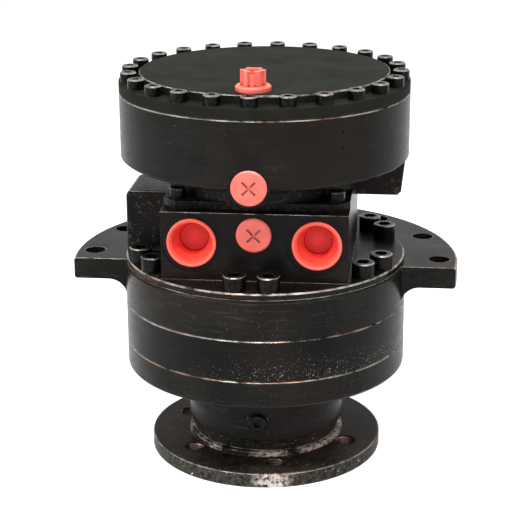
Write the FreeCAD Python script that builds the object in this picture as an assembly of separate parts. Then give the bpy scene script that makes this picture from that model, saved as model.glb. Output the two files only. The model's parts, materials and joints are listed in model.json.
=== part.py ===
import FreeCAD, Part
import math
import os

os.makedirs("parts", exist_ok=True)
V = FreeCAD.Vector

# Frame: millimetres, +Z up the shaft, z = 0 on the drive flange face, the ports look along -Y.
# Angles named *_PHI are measured from -Y towards +X.

# Small forms shared by many pieces
EDGE = 0.8
LIP = 1.0
FIT = 0.05
GAP = 0.3
PAST = 1.0

# Overall radii
CASE_R = 115.0
DISC_R = CASE_R - LIP
DRUM_R = 116.0
FLANGE_R = 96.0

# Heights of the joint faces, from the drive flange up
NECK_Z = 26.5
NECK_H = 50.5
UNDERSIDE_Z = NECK_Z + NECK_H
LOWER_CASE_H = 21.8
CAM_BOTTOM_Z = UNDERSIDE_Z + LOWER_CASE_H
CAM_H = 33.7
CAM_TOP_Z = CAM_BOTTOM_Z + CAM_H
UPPER_CASE_H = 33.0
CASE_TOP_Z = CAM_TOP_Z + UPPER_CASE_H
COVER_DISC_T = 5.0
DISC_Z = CASE_TOP_Z + COVER_DISC_T
PORT_BLOCK_H = 54.5
BLOCK_TOP_Z = DISC_Z + PORT_BLOCK_H

# Shaft journals and the tapered roller bearings on them
BEARING_JOURNAL_R = 32.5
BEARING_SECTION = 17.5
BEARING_H = 18.0
CUP_R = BEARING_JOURNAL_R + BEARING_SECTION
CUP_ANGLE = 14.0
CONE_ANGLE = 11.0
ROLLER_TILT = (CUP_ANGLE + CONE_ANGLE) / 2
ROLLER_PLACE = 0.423
APEX_DISTANCE = (BEARING_JOURNAL_R + ROLLER_PLACE * BEARING_SECTION) / math.tan(math.radians(ROLLER_TILT))
BEARING_ROLLERS = 20
BEARING_ROLLER_L = BEARING_H - 4.0
BEARING_PLAY = 0.03
CAGE_T = 1.6
CAGE_INSET = 0.7
LOWER_BEARING_Z = NECK_Z + 12.5
UPPER_BEARING_Z = UNDERSIDE_Z - 9.0
SHOULDER_R = CUP_R - 4.5
SEAL_JOURNAL_R = BEARING_JOURNAL_R + 9.5
SEAL_BORE_R = CUP_R + 4.2
SEAL_BORE_TOP_Z = LOWER_BEARING_Z - LIP
NUT_JOURNAL_R = BEARING_JOURNAL_R - 2.5
NUT_Z = UPPER_BEARING_Z + BEARING_H + 2.0
NUT_T = 8.0
NUT_R = NUT_JOURNAL_R + 10.0
NUT_SLOT_HALF = 3.5
NUT_SLOT_DEPTH = 3.5
NUT_ROOM_Z = NUT_Z + 2.0
SPLINE_Z = NUT_Z + NUT_T + LIP
SPLINE_TIP_R = NUT_JOURNAL_R - 3.0
SPLINE_ROOT_R = SPLINE_TIP_R - 2.4
SPLINE_TEETH = 20
TOOTH_SHARE = 0.46
SPACE_SHARE = 0.48

# Neck, hub and drive flange
NECK_R = CUP_R + 14.5
NECK_STEP = 2.0
NECK_UPPER_R = NECK_R + NECK_STEP
NECK_STEP_Z = NECK_Z + 20.5
NECK_ROOT = 8.0
CASE_FOOT_ROUND = 2.5
HUB_R = NECK_R - 4.0
HUB_RING_R = NECK_R - 0.5
HUB_RING_H = 4.0
FLANGE_T = 12.0
HUB_RING_Z = FLANGE_T + HUB_RING_H
HUB_TOP_Z = NECK_Z - GAP
PILOT_R = 47.5
PILOT_DEPTH = 6.0
WHEEL_HOLE_R = 8.0
WHEEL_PCD_R = FLANGE_R - 23.0
WHEEL_HOLES = 6
WHEEL_PHI = 11.4

# Plug in the neck
NECK_PLUG_Z = NECK_Z + 17.5
NECK_PAD_R = 9.0
NECK_PAD_Y = -NECK_R - 2.5
NECK_PAD_T = 9.0
NECK_PLUG_R = 5.0
NECK_PLUG_L = 9.5
NECK_PLUG_HOLE_L = 11.0
NECK_PLUG_HEAD_R = 7.5
NECK_PLUG_HEAD_H = 3.4
NECK_PLUG_AF = 6.0

# Shaft seal
SEAL_Z = NECK_Z + 2.5
SEAL_T = 8.0
SEAL_SHELL_T = 2.4
SEAL_WEB_T = 2.5
SEAL_LIP_T = 2.2
SEAL_LIP_Z = SEAL_Z + 6.0
SEAL_FOOT_T = 1.7

# Mounting ears
EAR_R = CASE_R + 42.5
EAR_T = 17.5
EAR_Z = CASE_TOP_Z - EAR_T
EAR_FILLET = UPPER_CASE_H - EAR_T - LIP / 2
EAR_BREAK = 1.5
EAR_FRONT_Y = -22.5
EAR_HOLE_R = 8.75
EAR_PCD_R = EAR_R - 15.0
EAR_PITCH = 360.0 / 14
EAR_HOLES = 8
EAR_ROOT = 7.0

# Cam ring, cylinder block and radial pistons
CAM_MEAN_R = CASE_R - 28.0
CAM_WAVE = 5.0
CAM_LOBES = 6
CAM_STEPS = 144
CAM_BLANK_R = CAM_MEAN_R - 17.0
BLOCK_R = CAM_MEAN_R - 9.0
BLOCK_Z0 = CAM_BOTTOM_Z + 1.7
BLOCK_Z1 = CAM_TOP_Z - 2.0
BLOCK_CORE_R = 15.0
BLOCK_EDGE = 1.5
PISTON_Z = (BLOCK_Z0 + BLOCK_Z1) / 2
SHAFT_TOP_Z = PISTON_Z + 1.5
PISTONS = 8
PISTON_PHI = 7.5
PISTON_R = 11.45
PISTON_BORE_R = PISTON_R + FIT
ROLLER_R = 7.5
ROLLER_L = 16.0
ROLLER_EDGE = 0.6
ROLLER_CENTRE = CAM_MEAN_R - CAM_WAVE - ROLLER_R - LIP / 2
CRADLE_R = ROLLER_R + FIT
CRADLE_END = 0.1
PISTON_OUT = ROLLER_CENTRE - 1.5
PISTON_IN = SPLINE_TIP_R + 17.0
PISTON_BORE_IN = PISTON_IN - 6.0
WELL_R = 6.5
WELL_DEPTH = (PISTON_OUT - PISTON_IN) * 0.4
RING_T = 2.0
RING_DEPTH = 1.2
RING_PLACE = PISTON_OUT - 12.5
FEED_R = PISTON_IN + LIP
FEED_HOLE_R = 3.5
FEED_HOLES = 12
FEED_TOP_WALL = 7.0
KEYS = 12
KEY_HALF = 2.0
KEY_IN_R = 13.0
KEY_TIP_R = 16.1

# Case recesses and their O-rings
RECESS_R = CASE_R - 31.0
RECESS_DEPTH = 3.8
UPPER_RECESS_DEPTH = 4.5
RECESS_FLOOR_R = CUP_R + 8.0
O_MINOR = 1.1
O_GROOVE = 2.3
O_GROOVE_HALF = 1.3
CASE_O_R = CASE_R - 20.0

# Distributor
DIST_R = RECESS_R - 18.0
DIST_NECK_R = DIST_R - 4.0
DIST_CORE_R = 19.0
DIST_TOP_Z = CASE_TOP_Z - 5.5
DIST_STEP_Z = DIST_TOP_Z - 13.0
DIST_SEAL_MINOR = 1.2
DIST_GROOVE_H = 3.0
DIST_GROOVE_DEPTH = 2.4
DIST_LOWER_SEAL_Z = DIST_STEP_Z - 6.5
DIST_UPPER_SEAL_Z = DIST_TOP_Z - 6.5
SPIGOT_R = DIST_R + 3.7
SPIGOT_O_R = SPIGOT_R + 6.3

# Case screws and dowels
CASE_SCREW_R = CASE_R - 10.5
CASE_SCREW_PAIR_PHI = 7.2
CASE_SCREW_PAIRS = 6
CASE_HOLE_R = 6.5
CASE_TAP_R = 6.0
CASE_TAP_DEPTH = 16.8
CASE_SHANK_R = 5.9
CASE_SHANK_L = DISC_Z - CAM_BOTTOM_Z + 14.3
CASE_HEAD_R = 9.0
CASE_HEAD_H = 12.0
CASE_HEAD_AF = 10.0
DOWEL_R = 4.0
DOWEL_DEPTH = 10.8
DOWEL_END = 2.0

# Screws of the brake
SMALL_HEAD_R = 6.5
SMALL_HEAD_H = 8.0
SMALL_HEAD_AF = 6.0
SMALL_SHANK_R = 3.9
SMALL_TAP_R = 4.0
SMALL_HOLE_R = 4.5
COVER_SCREWS = 24
COVER_SCREW_R = DRUM_R - 7.6
COVER_TAP_DEPTH = 24.8
COVER_SHANK_L = 30.0
BRAKE_BASE_T = 6.0
BRAKE_SCREW_SEAT_Z = BLOCK_TOP_Z + BRAKE_BASE_T
BRAKE_TAP_DEPTH = 20.0
BRAKE_SHANK_L = 24.0

# Port block and ports
FACE_Y = 31.0 - CASE_R
BLOCK_HALF_X = CASE_R - 42.3
BLOCK_BACK_Y = CASE_R - 41.0
BLOCK_REAR_ROUND = 14.0
BRAKE_SCREW_X = BLOCK_HALF_X - 10.7
BRAKE_SCREW_Y = BLOCK_BACK_Y - 12.0
SINK = 2.0
PORT_X = BLOCK_HALF_X - 24.2
PORT_Z = DISC_Z + 30.1
PORT_R = 16.6
PORT_DEPTH = 40.0
SPOT_R = PORT_R + 7.1
SPOT_DEPTH = 1.0
SMALL_PORT_R = 8.3
DRAIN_Z = DISC_Z + 37.8
DRAIN_DEPTH = 22.0
DRAIN_DRILL_R = 4.0
VALVE_BORE_R = 20.0
GALLERY_R = 7.0
GALLERY_X = PORT_X - 8.5
GALLERY_Y = FACE_Y + PORT_DEPTH + 4.0

# Speed valve boss at the side of the block
BOSS_X = 4.5 - CASE_R
BOSS_Y0 = -25.0
BOSS_Y1 = 28.0
BOSS_TOP_Z = BLOCK_TOP_Z - 0.7
BOSS_ROUND = 5.0
BOSS_FOOT_H = 7.0
BOSS_FOOT_IN = 3.0
BOSS_FOOT_OUT = 3.0
BOSS_FOOT_ROUND = 4.0
SPOOL_X = BOSS_X + 20.5
SPOOL_Z = DISC_Z + 27.5
SPOOL_R = 7.0
SPOOL_BORE_R = SPOOL_R + FIT
SPOOL_END_Y = BOSS_Y0 + 10.0
SPOOL_L = 18.0
SPOOL_OPEN_Y = BOSS_Y1 - 12.0
SPOOL_WAIST_R = 4.2
SPOOL_WAIST_IN = 5.0
SPOOL_WAIST_L = 4.0
SPOOL_HEAD_L = 0.5
PILOT_DRILL_R = 3.0
PILOT_DRILL_Y = BOSS_Y1 - 16.0
PILOT_DRILL_X = 10.7 - BLOCK_HALF_X
SPRING_COIL_R = 4.6
SPRING_WIRE_R = 0.7
SPRING_TURNS = 5
SPOOL_PLUG_HEAD_R = 10.0
SPOOL_PLUG_HEAD_H = 5.0
SPOOL_PLUG_AF = 8.0
GAUGE_X = -BLOCK_HALF_X - 7.8
GAUGE_Y = BOSS_Y0 - 11.0
GAUGE_R = 4.0
GAUGE_HEAD_R = 5.6
GAUGE_HEAD_H = 5.0
GAUGE_AF = 5.0

# Brake housing, cover and what is inside
DRUM_RISE = 28.5
DRUM_Z = BLOCK_TOP_Z + DRUM_RISE
BRAKE_NECK_R = DRUM_R - 39.0
BRAKE_NECK_Z = DRUM_Z - 12.5
BRAKE_BASE_RIM = 9.32
BRAKE_BASE_R = math.hypot(BRAKE_SCREW_X, BRAKE_SCREW_Y) + BRAKE_BASE_RIM
FLARE_R = DRUM_R - 8.0
FLARE_Z = DRUM_Z - 4.0
FLARE_LIP_R = DRUM_R - 3.0
FLARE_LIP_Z = DRUM_Z - 2.5
FLARE_ROUND = 4.0
SHAFT_ROOM_R = 24.0
BRAKE_FLOOR_Z = DRUM_Z + 11.5
DISC_PITCH = 2.0
FACING_T = 1.9
BRAKE_DISCS = 9
STACK_TOP_Z = BRAKE_FLOOR_Z + BRAKE_DISCS * DISC_PITCH
SEAL_LAND_Z = STACK_TOP_Z + LIP
PISTON_BORE_Z = SEAL_LAND_Z + 4.0
BRAKE_PISTON_TOP_Z = PISTON_BORE_Z + 6.0
SPRING_TOP_Z = BRAKE_PISTON_TOP_Z + 8.0
BRAKE_TOP_Z = SPRING_TOP_Z + 2.8
COVER_T = 9.2
LEDGE_Z = BRAKE_TOP_Z + COVER_T
PLATEAU_H = 6.5
PLATEAU_Z = LEDGE_Z + PLATEAU_H
PLATEAU_R = DRUM_R - 16.2
PLATEAU_ROUND = 1.4
BRAKE_BORE_R = DRUM_R - 17.95
SEAL_LAND_R = BRAKE_BORE_R - 5.75
SLOT_R = SEAL_LAND_R - GAP
DISC_BORE_R = SEAL_LAND_R - 3.8
BRAKE_TABS = 12
TAB_HALF = 6.0
TAB_SIDE = 0.2
TAB_IN = 3.0
TAB_ROOT = 3.5
OUTER_DISC_CLEAR = 3.4
INNER_DISC_CLEAR = 0.6
FACING_INSET = 2.5
DISC_TOOTH = 2.4
DISC_TOOTH_GAP = 0.4
DISC_RING_W = 26.9
HUB_SPLINE_R = DISC_BORE_R - DISC_RING_W
HUB_SLOT_R = HUB_SPLINE_R - 3.8
HUB_SLOT_HALF = 5.2
BRAKE_SHAFT_R = 14.0
BRAKE_SHAFT_ROUND = 4.0
BRAKE_SHAFT_BOTTOM_Z = SHAFT_TOP_Z + EDGE
BRAKE_WEB_R = 20.0
BRAKE_WEB_Z = BRAKE_FLOOR_Z + 11.0
BRAKE_WEB_HOLES = 6
BRAKE_WEB_HOLE_R = 6.0
BRAKE_WEB_PCD_R = 2 * BRAKE_WEB_R
BRAKE_PISTON_CORE_R = HUB_SPLINE_R - 16.6
BRAKE_PISTON_FOOT_R = HUB_SPLINE_R + 1.4
BRAKE_PISTON_WEB_Z = STACK_TOP_Z + 4.0
BRAKE_PISTON_FIT = 0.06
BRAKE_PISTON_INSET = 0.6
BRAKE_SEAL_MINOR = 0.95
BRAKE_SEAL_HALF = 1.0
BRAKE_SEAL_IN = 1.1
BRAKE_SEAL_DEPTH = 2.1
LAND_SEAL_Z = SEAL_LAND_Z + 2.4
BORE_SEAL_Z = PISTON_BORE_Z + 3.2
SPRING_IN_R = HUB_SPLINE_R - 1.6
SPRING_OUT_R = BRAKE_BORE_R - 4.05
SPRING_T = 3.0
COVER_O_R = BRAKE_BORE_R + 2.25
COVER_O_HALF = 1.2
COVER_O_DEPTH = 2.0
BASE_O_R = 40.0
BASE_O_HALF = 1.4
BRAKE_PORT_Y = 2.0 - DRUM_R
BRAKE_PORT_Z = DRUM_Z + LIP / 2
BRAKE_PAD_R = 15.5
BRAKE_SEAT_R = 14.4
BRAKE_PORT_DEPTH = 16.5
BRAKE_DRILL_R = 2.5
BRAKE_DRILL_Y = -BRAKE_BORE_R + 2.85
PAD_CLEAR = 6.0
BLEED_Y = 34.7 - DRUM_R
LUG_X0 = BLOCK_HALF_X - 12.7
LUG_X1 = DRUM_R - 5.5
LUG_DRAFT = 3.5
LUG_ROUND = 3.0
LUG_Y0 = -12.0
LUG_Y1 = 30.0
LUG_Z = BLOCK_TOP_Z - 2.6
LUG_TOP_Z = DRUM_Z + 4.0
MARK_PHI = 35.9
MARK_R = 1.2
MARK_ZS = (DRUM_Z + 27.2, DRUM_Z + 39.4)

# Plastic plugs
CUP_DEPTH = 18.0
CUP_WALL = 2.2
CUP_LIP_R = PORT_R + 2.7
CUP_LIP_T = 2.6
CUP_MOUTH_R = PORT_R - 0.7
CUP_END_R = PORT_R - 4.0
CUP_MOUTH_FLARE = 1.5
CUP_END_WALL = 1.6
PLUG_SHANK_L = 11.0
PLUG_SHANK_R = SMALL_PORT_R - 0.2
PLUG_TIP_R = PLUG_SHANK_R - 0.7
PLUG_HEAD_R = SMALL_PORT_R + 5.3
PLUG_HEAD_T = 2.2
PLUG_CROWN = 3.6
PLUG_EDGE = 1.2
PLUG_EDGE_DROP = 0.4
PLUG_SLOT_HALF = 0.9
PLUG_SLOT_L = 7.0
GRIP_R = 8.0
GRIP_H = 15.5
GRIP_BORE_R = 5.2
GRIP_FLOOR = 6.0
GRIP_FLANGE_T = 4.2
GRIP_RIBS = 6
GRIP_RIB_HALF = 1.6
GRIP_RIB_R = GRIP_R + 1.6
GRIP_NOTCHES = 3
GRIP_NOTCH_HALF = 1.5
GRIP_NOTCH_H = 3.0


def direction(phi, radius=1.0, z=0.0):
    a = math.radians(phi)
    return V(radius * math.sin(a), -radius * math.cos(a), z)


def cyl(r, z0, z1, x=0.0, y=0.0):
    return Part.makeCylinder(r, z1 - z0, V(x, y, z0))


def cyl_y(r, y0, y1, x, z):
    return Part.makeCylinder(r, y1 - y0, V(x, y0, z), V(0, 1, 0))


def box(x0, x1, y0, y1, z0, z1):
    return Part.makeBox(x1 - x0, y1 - y0, z1 - z0, V(x0, y0, z0))


def tube(r_in, r_out, z0, z1):
    return cyl(r_out, z0, z1).cut(cyl(r_in, z0 - PAST, z1 + PAST))


def turned(points):
    """Solid of revolution about Z from (radius, z) corners; a third value rounds that corner."""
    flat = [V(p[0], 0, p[1]) for p in points]
    edges = []
    starts = []
    n = len(points)
    for i, p in enumerate(points):
        here = flat[i]
        if len(p) < 3:
            starts.append((here, here, None))
            continue
        back = flat[i - 1].sub(here).normalize()
        on = flat[(i + 1) % n].sub(here).normalize()
        half = math.acos(max(-1.0, min(1.0, back.dot(on)))) / 2
        run = p[2] / math.tan(half)
        a = here.add(V(back).multiply(run))
        b = here.add(V(on).multiply(run))
        bis = back.add(on).normalize()
        centre = here.add(V(bis).multiply(p[2] / math.sin(half)))
        mid = centre.add(V(bis).multiply(-p[2]))
        starts.append((a, b, mid))
    for i in range(n):
        a, b, mid = starts[i]
        if mid is not None:
            edges.append(Part.Arc(a, mid, b).toShape())
        nxt = starts[(i + 1) % n][0]
        if b.sub(nxt).Length > 1e-6:
            edges.append(Part.LineSegment(b, nxt).toShape())
    face = Part.Face(Part.Wire(edges))
    return face.revolve(V(0, 0, 0), V(0, 0, 1), 360)


def facing(body, x, y, z, turn):
    """Lay a piece made on the Z axis along Y: turn 90 looks out of the port face, -90 to the back."""
    body.rotate(V(0, 0, 0), V(1, 0, 0), turn)
    body.translate(V(x, y, z))
    return body


def at_phi(shape, phi):
    copy = shape.copy()
    copy.rotate(V(0, 0, 0), V(0, 0, 1), phi)
    return copy


def around(shape, count, phi0=0.0):
    return [at_phi(shape, phi0 + 360.0 * i / count) for i in range(count)]


def group(shapes):
    return Part.makeCompound(shapes)


def hexagon(af, z0, z1):
    r = af / math.sqrt(3)
    corners = [V(r * math.cos(math.radians(60 * i)), r * math.sin(math.radians(60 * i)), z0) for i in range(7)]
    return Part.Face(Part.makePolygon(corners)).extrude(V(0, 0, z1 - z0))


def spline(root_r, tip_r, teeth, share, z0, z1):
    """Toothed prism: share is the part of the pitch that each tooth fills."""
    body = cyl(root_r, z0, z1)
    half = math.pi * tip_r / teeth * share
    tooth = box(-half, half, -tip_r - PAST, -root_r + PAST, z0, z1)
    teeth_all = around(tooth, teeth)
    ring = teeth_all[0].multiFuse(teeth_all[1:]).common(cyl(tip_r, z0, z1))
    return body.fuse(ring).removeSplitter()


def socket_screw(seat_z, r_head, h_head, af, r_shank, length):
    """Socket-head cap screw on the Z axis, its head standing on seat_z."""
    top = seat_z + h_head
    head = turned([(0, seat_z), (r_head, seat_z), (r_head, top - EDGE), (r_head - EDGE, top), (0, top)])
    socket = hexagon(af, seat_z + h_head * 0.45, top + PAST)
    tip = seat_z - length
    shank = turned([(0, tip), (r_shank - EDGE, tip), (r_shank, tip + EDGE), (r_shank, seat_z), (0, seat_z)])
    return head.cut(socket).fuse(shank).removeSplitter()


def o_ring(radius, minor, z):
    return Part.makeTorus(radius, minor, V(0, 0, z), V(0, 0, 1))


def save(name, shape):
    shape.exportStep("parts/" + name + ".step")


CASE_SCREW_PHIS = []
for pair in range(CASE_SCREW_PAIRS):
    CASE_SCREW_PHIS.append(pair * 360.0 / CASE_SCREW_PAIRS - CASE_SCREW_PAIR_PHI)
    CASE_SCREW_PHIS.append(pair * 360.0 / CASE_SCREW_PAIRS + CASE_SCREW_PAIR_PHI)
COVER_SCREW_PHIS = [360.0 * i / COVER_SCREWS for i in range(COVER_SCREWS)]
SIDES = (-1, 1)


def places(radius, phis):
    return [(direction(phi, radius).x, direction(phi, radius).y) for phi in phis]


CASE_SCREW_PLACES = places(CASE_SCREW_R, CASE_SCREW_PHIS)
COVER_SCREW_PLACES = places(COVER_SCREW_R, COVER_SCREW_PHIS)
BRAKE_SCREW_PLACES = [(sx * BRAKE_SCREW_X, sy * BRAKE_SCREW_Y) for sx in SIDES for sy in SIDES]
DOWEL_PLACES = [(side * CASE_SCREW_R, 0.0) for side in SIDES]


def holes(r, z0, z1, spots):
    return [cyl(r, z0, z1, x, y) for x, y in spots]


def o_groove(radius, half, z0, z1):
    return tube(radius - half, radius + half, z0, z1)


def cam_profile():
    points = []
    for i in range(CAM_STEPS):
        phi = 360.0 * i / CAM_STEPS
        r = CAM_MEAN_R - CAM_WAVE * math.cos(math.radians(CAM_LOBES * phi))
        points.append(direction(phi, r, CAM_BOTTOM_Z - PAST))
    curve = Part.BSplineCurve()
    curve.interpolate(points, True)
    return Part.Face(Part.Wire(curve.toShape()))


def make_front_case():
    body = turned([
        (SEAL_BORE_R, NECK_Z), (NECK_R, NECK_Z, LIP), (NECK_R, NECK_STEP_Z), (NECK_UPPER_R, NECK_STEP_Z, EDGE),
        (NECK_UPPER_R, UNDERSIDE_Z, NECK_ROOT), (CASE_R, UNDERSIDE_Z, CASE_FOOT_ROUND),
        (CASE_R, CAM_BOTTOM_Z - EDGE), (CASE_R - EDGE, CAM_BOTTOM_Z), (RECESS_R, CAM_BOTTOM_Z),
        (RECESS_R, CAM_BOTTOM_Z - RECESS_DEPTH), (RECESS_FLOOR_R, NUT_ROOM_Z), (CUP_R, NUT_ROOM_Z),
        (CUP_R, UPPER_BEARING_Z), (SHOULDER_R, UPPER_BEARING_Z), (SHOULDER_R, LOWER_BEARING_Z + BEARING_H),
        (CUP_R, LOWER_BEARING_Z + BEARING_H), (CUP_R, SEAL_BORE_TOP_Z), (SEAL_BORE_R, SEAL_BORE_TOP_Z)])
    body = body.fuse(cyl_y(NECK_PAD_R, NECK_PAD_Y, NECK_PAD_Y + NECK_PAD_T, 0, NECK_PLUG_Z))
    cuts = holes(CASE_TAP_R, CAM_BOTTOM_Z - CASE_TAP_DEPTH, CAM_BOTTOM_Z + PAST, CASE_SCREW_PLACES)
    cuts += holes(DOWEL_R + FIT, CAM_BOTTOM_Z - DOWEL_DEPTH, CAM_BOTTOM_Z + PAST, DOWEL_PLACES)
    cuts.append(o_groove(CASE_O_R, O_GROOVE_HALF, CAM_BOTTOM_Z - O_GROOVE, CAM_BOTTOM_Z + PAST))
    cuts.append(cyl_y(NECK_PLUG_R, NECK_PAD_Y - PAST, NECK_PAD_Y + NECK_PLUG_HOLE_L, 0, NECK_PLUG_Z))
    return body.cut(cuts)


def make_cam_ring():
    body = turned([(CAM_BLANK_R, CAM_BOTTOM_Z), (CASE_R - EDGE, CAM_BOTTOM_Z), (CASE_R, CAM_BOTTOM_Z + EDGE),
                   (CASE_R, CAM_TOP_Z - EDGE), (CASE_R - EDGE, CAM_TOP_Z), (CAM_BLANK_R, CAM_TOP_Z)])
    bore = cam_profile().extrude(V(0, 0, CAM_H + 2 * PAST))
    return body.cut([bore] + holes(CASE_HOLE_R, CAM_BOTTOM_Z - PAST, CAM_TOP_Z + PAST, CASE_SCREW_PLACES)
                    + holes(DOWEL_R + FIT, CAM_BOTTOM_Z - PAST, CAM_TOP_Z + PAST, DOWEL_PLACES))


def make_flange_case():
    body = turned([
        (RECESS_R, CAM_TOP_Z), (CASE_R - EDGE, CAM_TOP_Z), (CASE_R, CAM_TOP_Z + EDGE),
        (CASE_R, CASE_TOP_Z - CASE_FOOT_ROUND), (CASE_R - LIP, CASE_TOP_Z), (SPIGOT_R + GAP, CASE_TOP_Z),
        (SPIGOT_R + GAP, DIST_TOP_Z), (DIST_NECK_R + GAP, DIST_TOP_Z), (DIST_NECK_R + GAP, DIST_STEP_Z + GAP),
        (DIST_R + GAP, DIST_STEP_Z + GAP), (DIST_R + GAP, CAM_TOP_Z + UPPER_RECESS_DEPTH),
        (RECESS_R, CAM_TOP_Z + UPPER_RECESS_DEPTH)])
    sunk = CASE_R - LIP / 2
    foot = EAR_Z - EAR_FILLET
    a = V(sunk, 0, foot)
    b = V(sunk + EAR_FILLET, 0, EAR_Z)
    centre = V(sunk + EAR_FILLET, 0, foot)
    mid = centre.add(V(-math.sin(math.pi / 4), 0, math.cos(math.pi / 4)).multiply(EAR_FILLET))
    corners = [b, V(EAR_R - EAR_BREAK, 0, EAR_Z), V(EAR_R, 0, EAR_Z + EAR_BREAK), V(EAR_R, 0, CASE_TOP_Z - EAR_BREAK),
               V(EAR_R - EAR_BREAK, 0, CASE_TOP_Z), V(CASE_R - EAR_ROOT, 0, CASE_TOP_Z),
               V(CASE_R - EAR_ROOT, 0, foot), a]
    edges = [Part.Arc(a, mid, b).toShape()]
    for p, q in zip(corners, corners[1:]):
        edges.append(Part.LineSegment(p, q).toShape())
    ears = Part.Face(Part.Wire(edges)).revolve(V(0, 0, 0), V(0, 0, 1), 360)
    ears = ears.cut(box(-2 * EAR_R, 2 * EAR_R, -2 * EAR_R, EAR_FRONT_Y, foot - PAST, CASE_TOP_Z + PAST))
    body = body.fuse(ears)
    cuts = holes(CASE_HOLE_R, CAM_TOP_Z - PAST, CASE_TOP_Z + PAST, CASE_SCREW_PLACES)
    cuts += holes(DOWEL_R + FIT, CAM_TOP_Z - PAST, CAM_TOP_Z + DOWEL_DEPTH, DOWEL_PLACES)
    ear_phis = [90.0 + EAR_PITCH * i for i in range(EAR_HOLES)]
    cuts += holes(EAR_HOLE_R, foot - PAST, CASE_TOP_Z + PAST, places(EAR_PCD_R, ear_phis))
    cuts.append(o_groove(CASE_O_R, O_GROOVE_HALF, CAM_TOP_Z - PAST, CAM_TOP_Z + O_GROOVE))
    cuts.append(o_groove(SPIGOT_O_R, O_GROOVE_HALF, CASE_TOP_Z - O_GROOVE, CASE_TOP_Z + PAST))
    return body.cut(cuts)


def rounded(solid, radius, chosen):
    return solid.makeFillet(radius, [edge for edge in solid.Edges if chosen(edge.CenterOfMass)])


def make_valve_cover():
    disc = turned([(0, DIST_TOP_Z + GAP), (SPIGOT_R, DIST_TOP_Z + GAP), (SPIGOT_R, CASE_TOP_Z),
                   (DISC_R - LIP, CASE_TOP_Z), (DISC_R, CASE_TOP_Z + LIP), (DISC_R, DISC_Z - LIP),
                   (DISC_R - LIP, DISC_Z), (0, DISC_Z)])
    low = DISC_Z - SINK
    block = box(-BLOCK_HALF_X, BLOCK_HALF_X, FACE_Y, BLOCK_BACK_Y, low, BLOCK_TOP_Z)
    block = rounded(block, BLOCK_REAR_ROUND,
                    lambda c: c.y > BLOCK_BACK_Y - FIT and abs(c.x) > BLOCK_HALF_X - FIT)
    boss = box(BOSS_X, SINK - BLOCK_HALF_X, BOSS_Y0, BOSS_Y1, low, BOSS_TOP_Z)
    boss = rounded(boss, BOSS_ROUND, lambda c: c.x < BOSS_X + FIT and c.z > BOSS_TOP_Z - FIT)
    boss = rounded(boss, CASE_FOOT_ROUND,
                   lambda c: c.x < BOSS_X + FIT and abs(c.z - (low + BOSS_TOP_Z - BOSS_ROUND) / 2) < LIP)
    foot = box(BOSS_X + BOSS_FOOT_IN, SINK - BLOCK_HALF_X, BOSS_Y0 - BOSS_FOOT_OUT, BOSS_Y1 + SINK,
               low, DISC_Z + BOSS_FOOT_H)
    foot = rounded(foot, BOSS_FOOT_ROUND, lambda c: c.z > DISC_Z + BOSS_FOOT_H - FIT)
    body = disc.fuse([block, boss, foot])
    cuts = holes(CASE_HOLE_R, CASE_TOP_Z - PAST, DISC_Z + PAST, CASE_SCREW_PLACES)
    cuts += holes(CASE_HEAD_R + LIP, DISC_Z, DISC_Z + BOSS_FOOT_H + PAST, CASE_SCREW_PLACES)
    cuts += holes(SMALL_TAP_R, BLOCK_TOP_Z - BRAKE_TAP_DEPTH, BLOCK_TOP_Z + PAST, BRAKE_SCREW_PLACES)
    cuts.append(cyl(VALVE_BORE_R, DIST_TOP_Z - PAST, BLOCK_TOP_Z + PAST))
    for side in SIDES:
        cuts.append(cyl_y(PORT_R, FACE_Y - PAST, FACE_Y + PORT_DEPTH, side * PORT_X, PORT_Z))
        cuts.append(cyl_y(SPOT_R, FACE_Y - PAST, FACE_Y + SPOT_DEPTH, side * PORT_X, PORT_Z))
        cuts.append(cyl(GALLERY_R, DIST_TOP_Z - PAST, PORT_Z, side * GALLERY_X, GALLERY_Y))
    cuts.append(cyl_y(SMALL_PORT_R, FACE_Y - PAST, FACE_Y + DRAIN_DEPTH, 0, DRAIN_Z))
    cuts.append(cyl_y(DRAIN_DRILL_R, FACE_Y + DRAIN_DEPTH / 2, SINK - VALVE_BORE_R, 0, DRAIN_Z))
    cuts.append(cyl_y(SPOOL_BORE_R, SPOOL_END_Y, BOSS_Y1 + PAST, SPOOL_X, SPOOL_Z))
    cuts.append(cyl(PILOT_DRILL_R, DIST_TOP_Z - PAST, SPOOL_Z, PILOT_DRILL_X, PILOT_DRILL_Y))
    cuts.append(Part.makeCylinder(PILOT_DRILL_R, PILOT_DRILL_X - SPOOL_X + PILOT_DRILL_R,
                                  V(SPOOL_X, PILOT_DRILL_Y, SPOOL_Z), V(1, 0, 0)))
    cuts.append(cyl(GAUGE_R, CASE_TOP_Z - PAST, DISC_Z + PAST, GAUGE_X, GAUGE_Y))
    return body.cut(cuts)


def make_lug():
    """Drafted lug under the drum, at the side of the block."""
    corners = [V(LUG_X0, LUG_Y0, LUG_Z), V(LUG_X1 - LUG_ROUND, LUG_Y0, LUG_Z), V(LUG_X1, LUG_Y0, LUG_Z + LUG_ROUND),
               V(LUG_X1 + LUG_DRAFT, LUG_Y0, LUG_TOP_Z), V(LUG_X0, LUG_Y0, LUG_TOP_Z), V(LUG_X0, LUG_Y0, LUG_Z)]
    lug = Part.Face(Part.makePolygon(corners)).extrude(V(0, LUG_Y1 - LUG_Y0, 0))
    return lug.cut(box(LUG_X0 - PAST, BLOCK_HALF_X + GAP, LUG_Y0 - PAST, LUG_Y1 + PAST, LUG_Z - PAST, BLOCK_TOP_Z))


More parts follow.
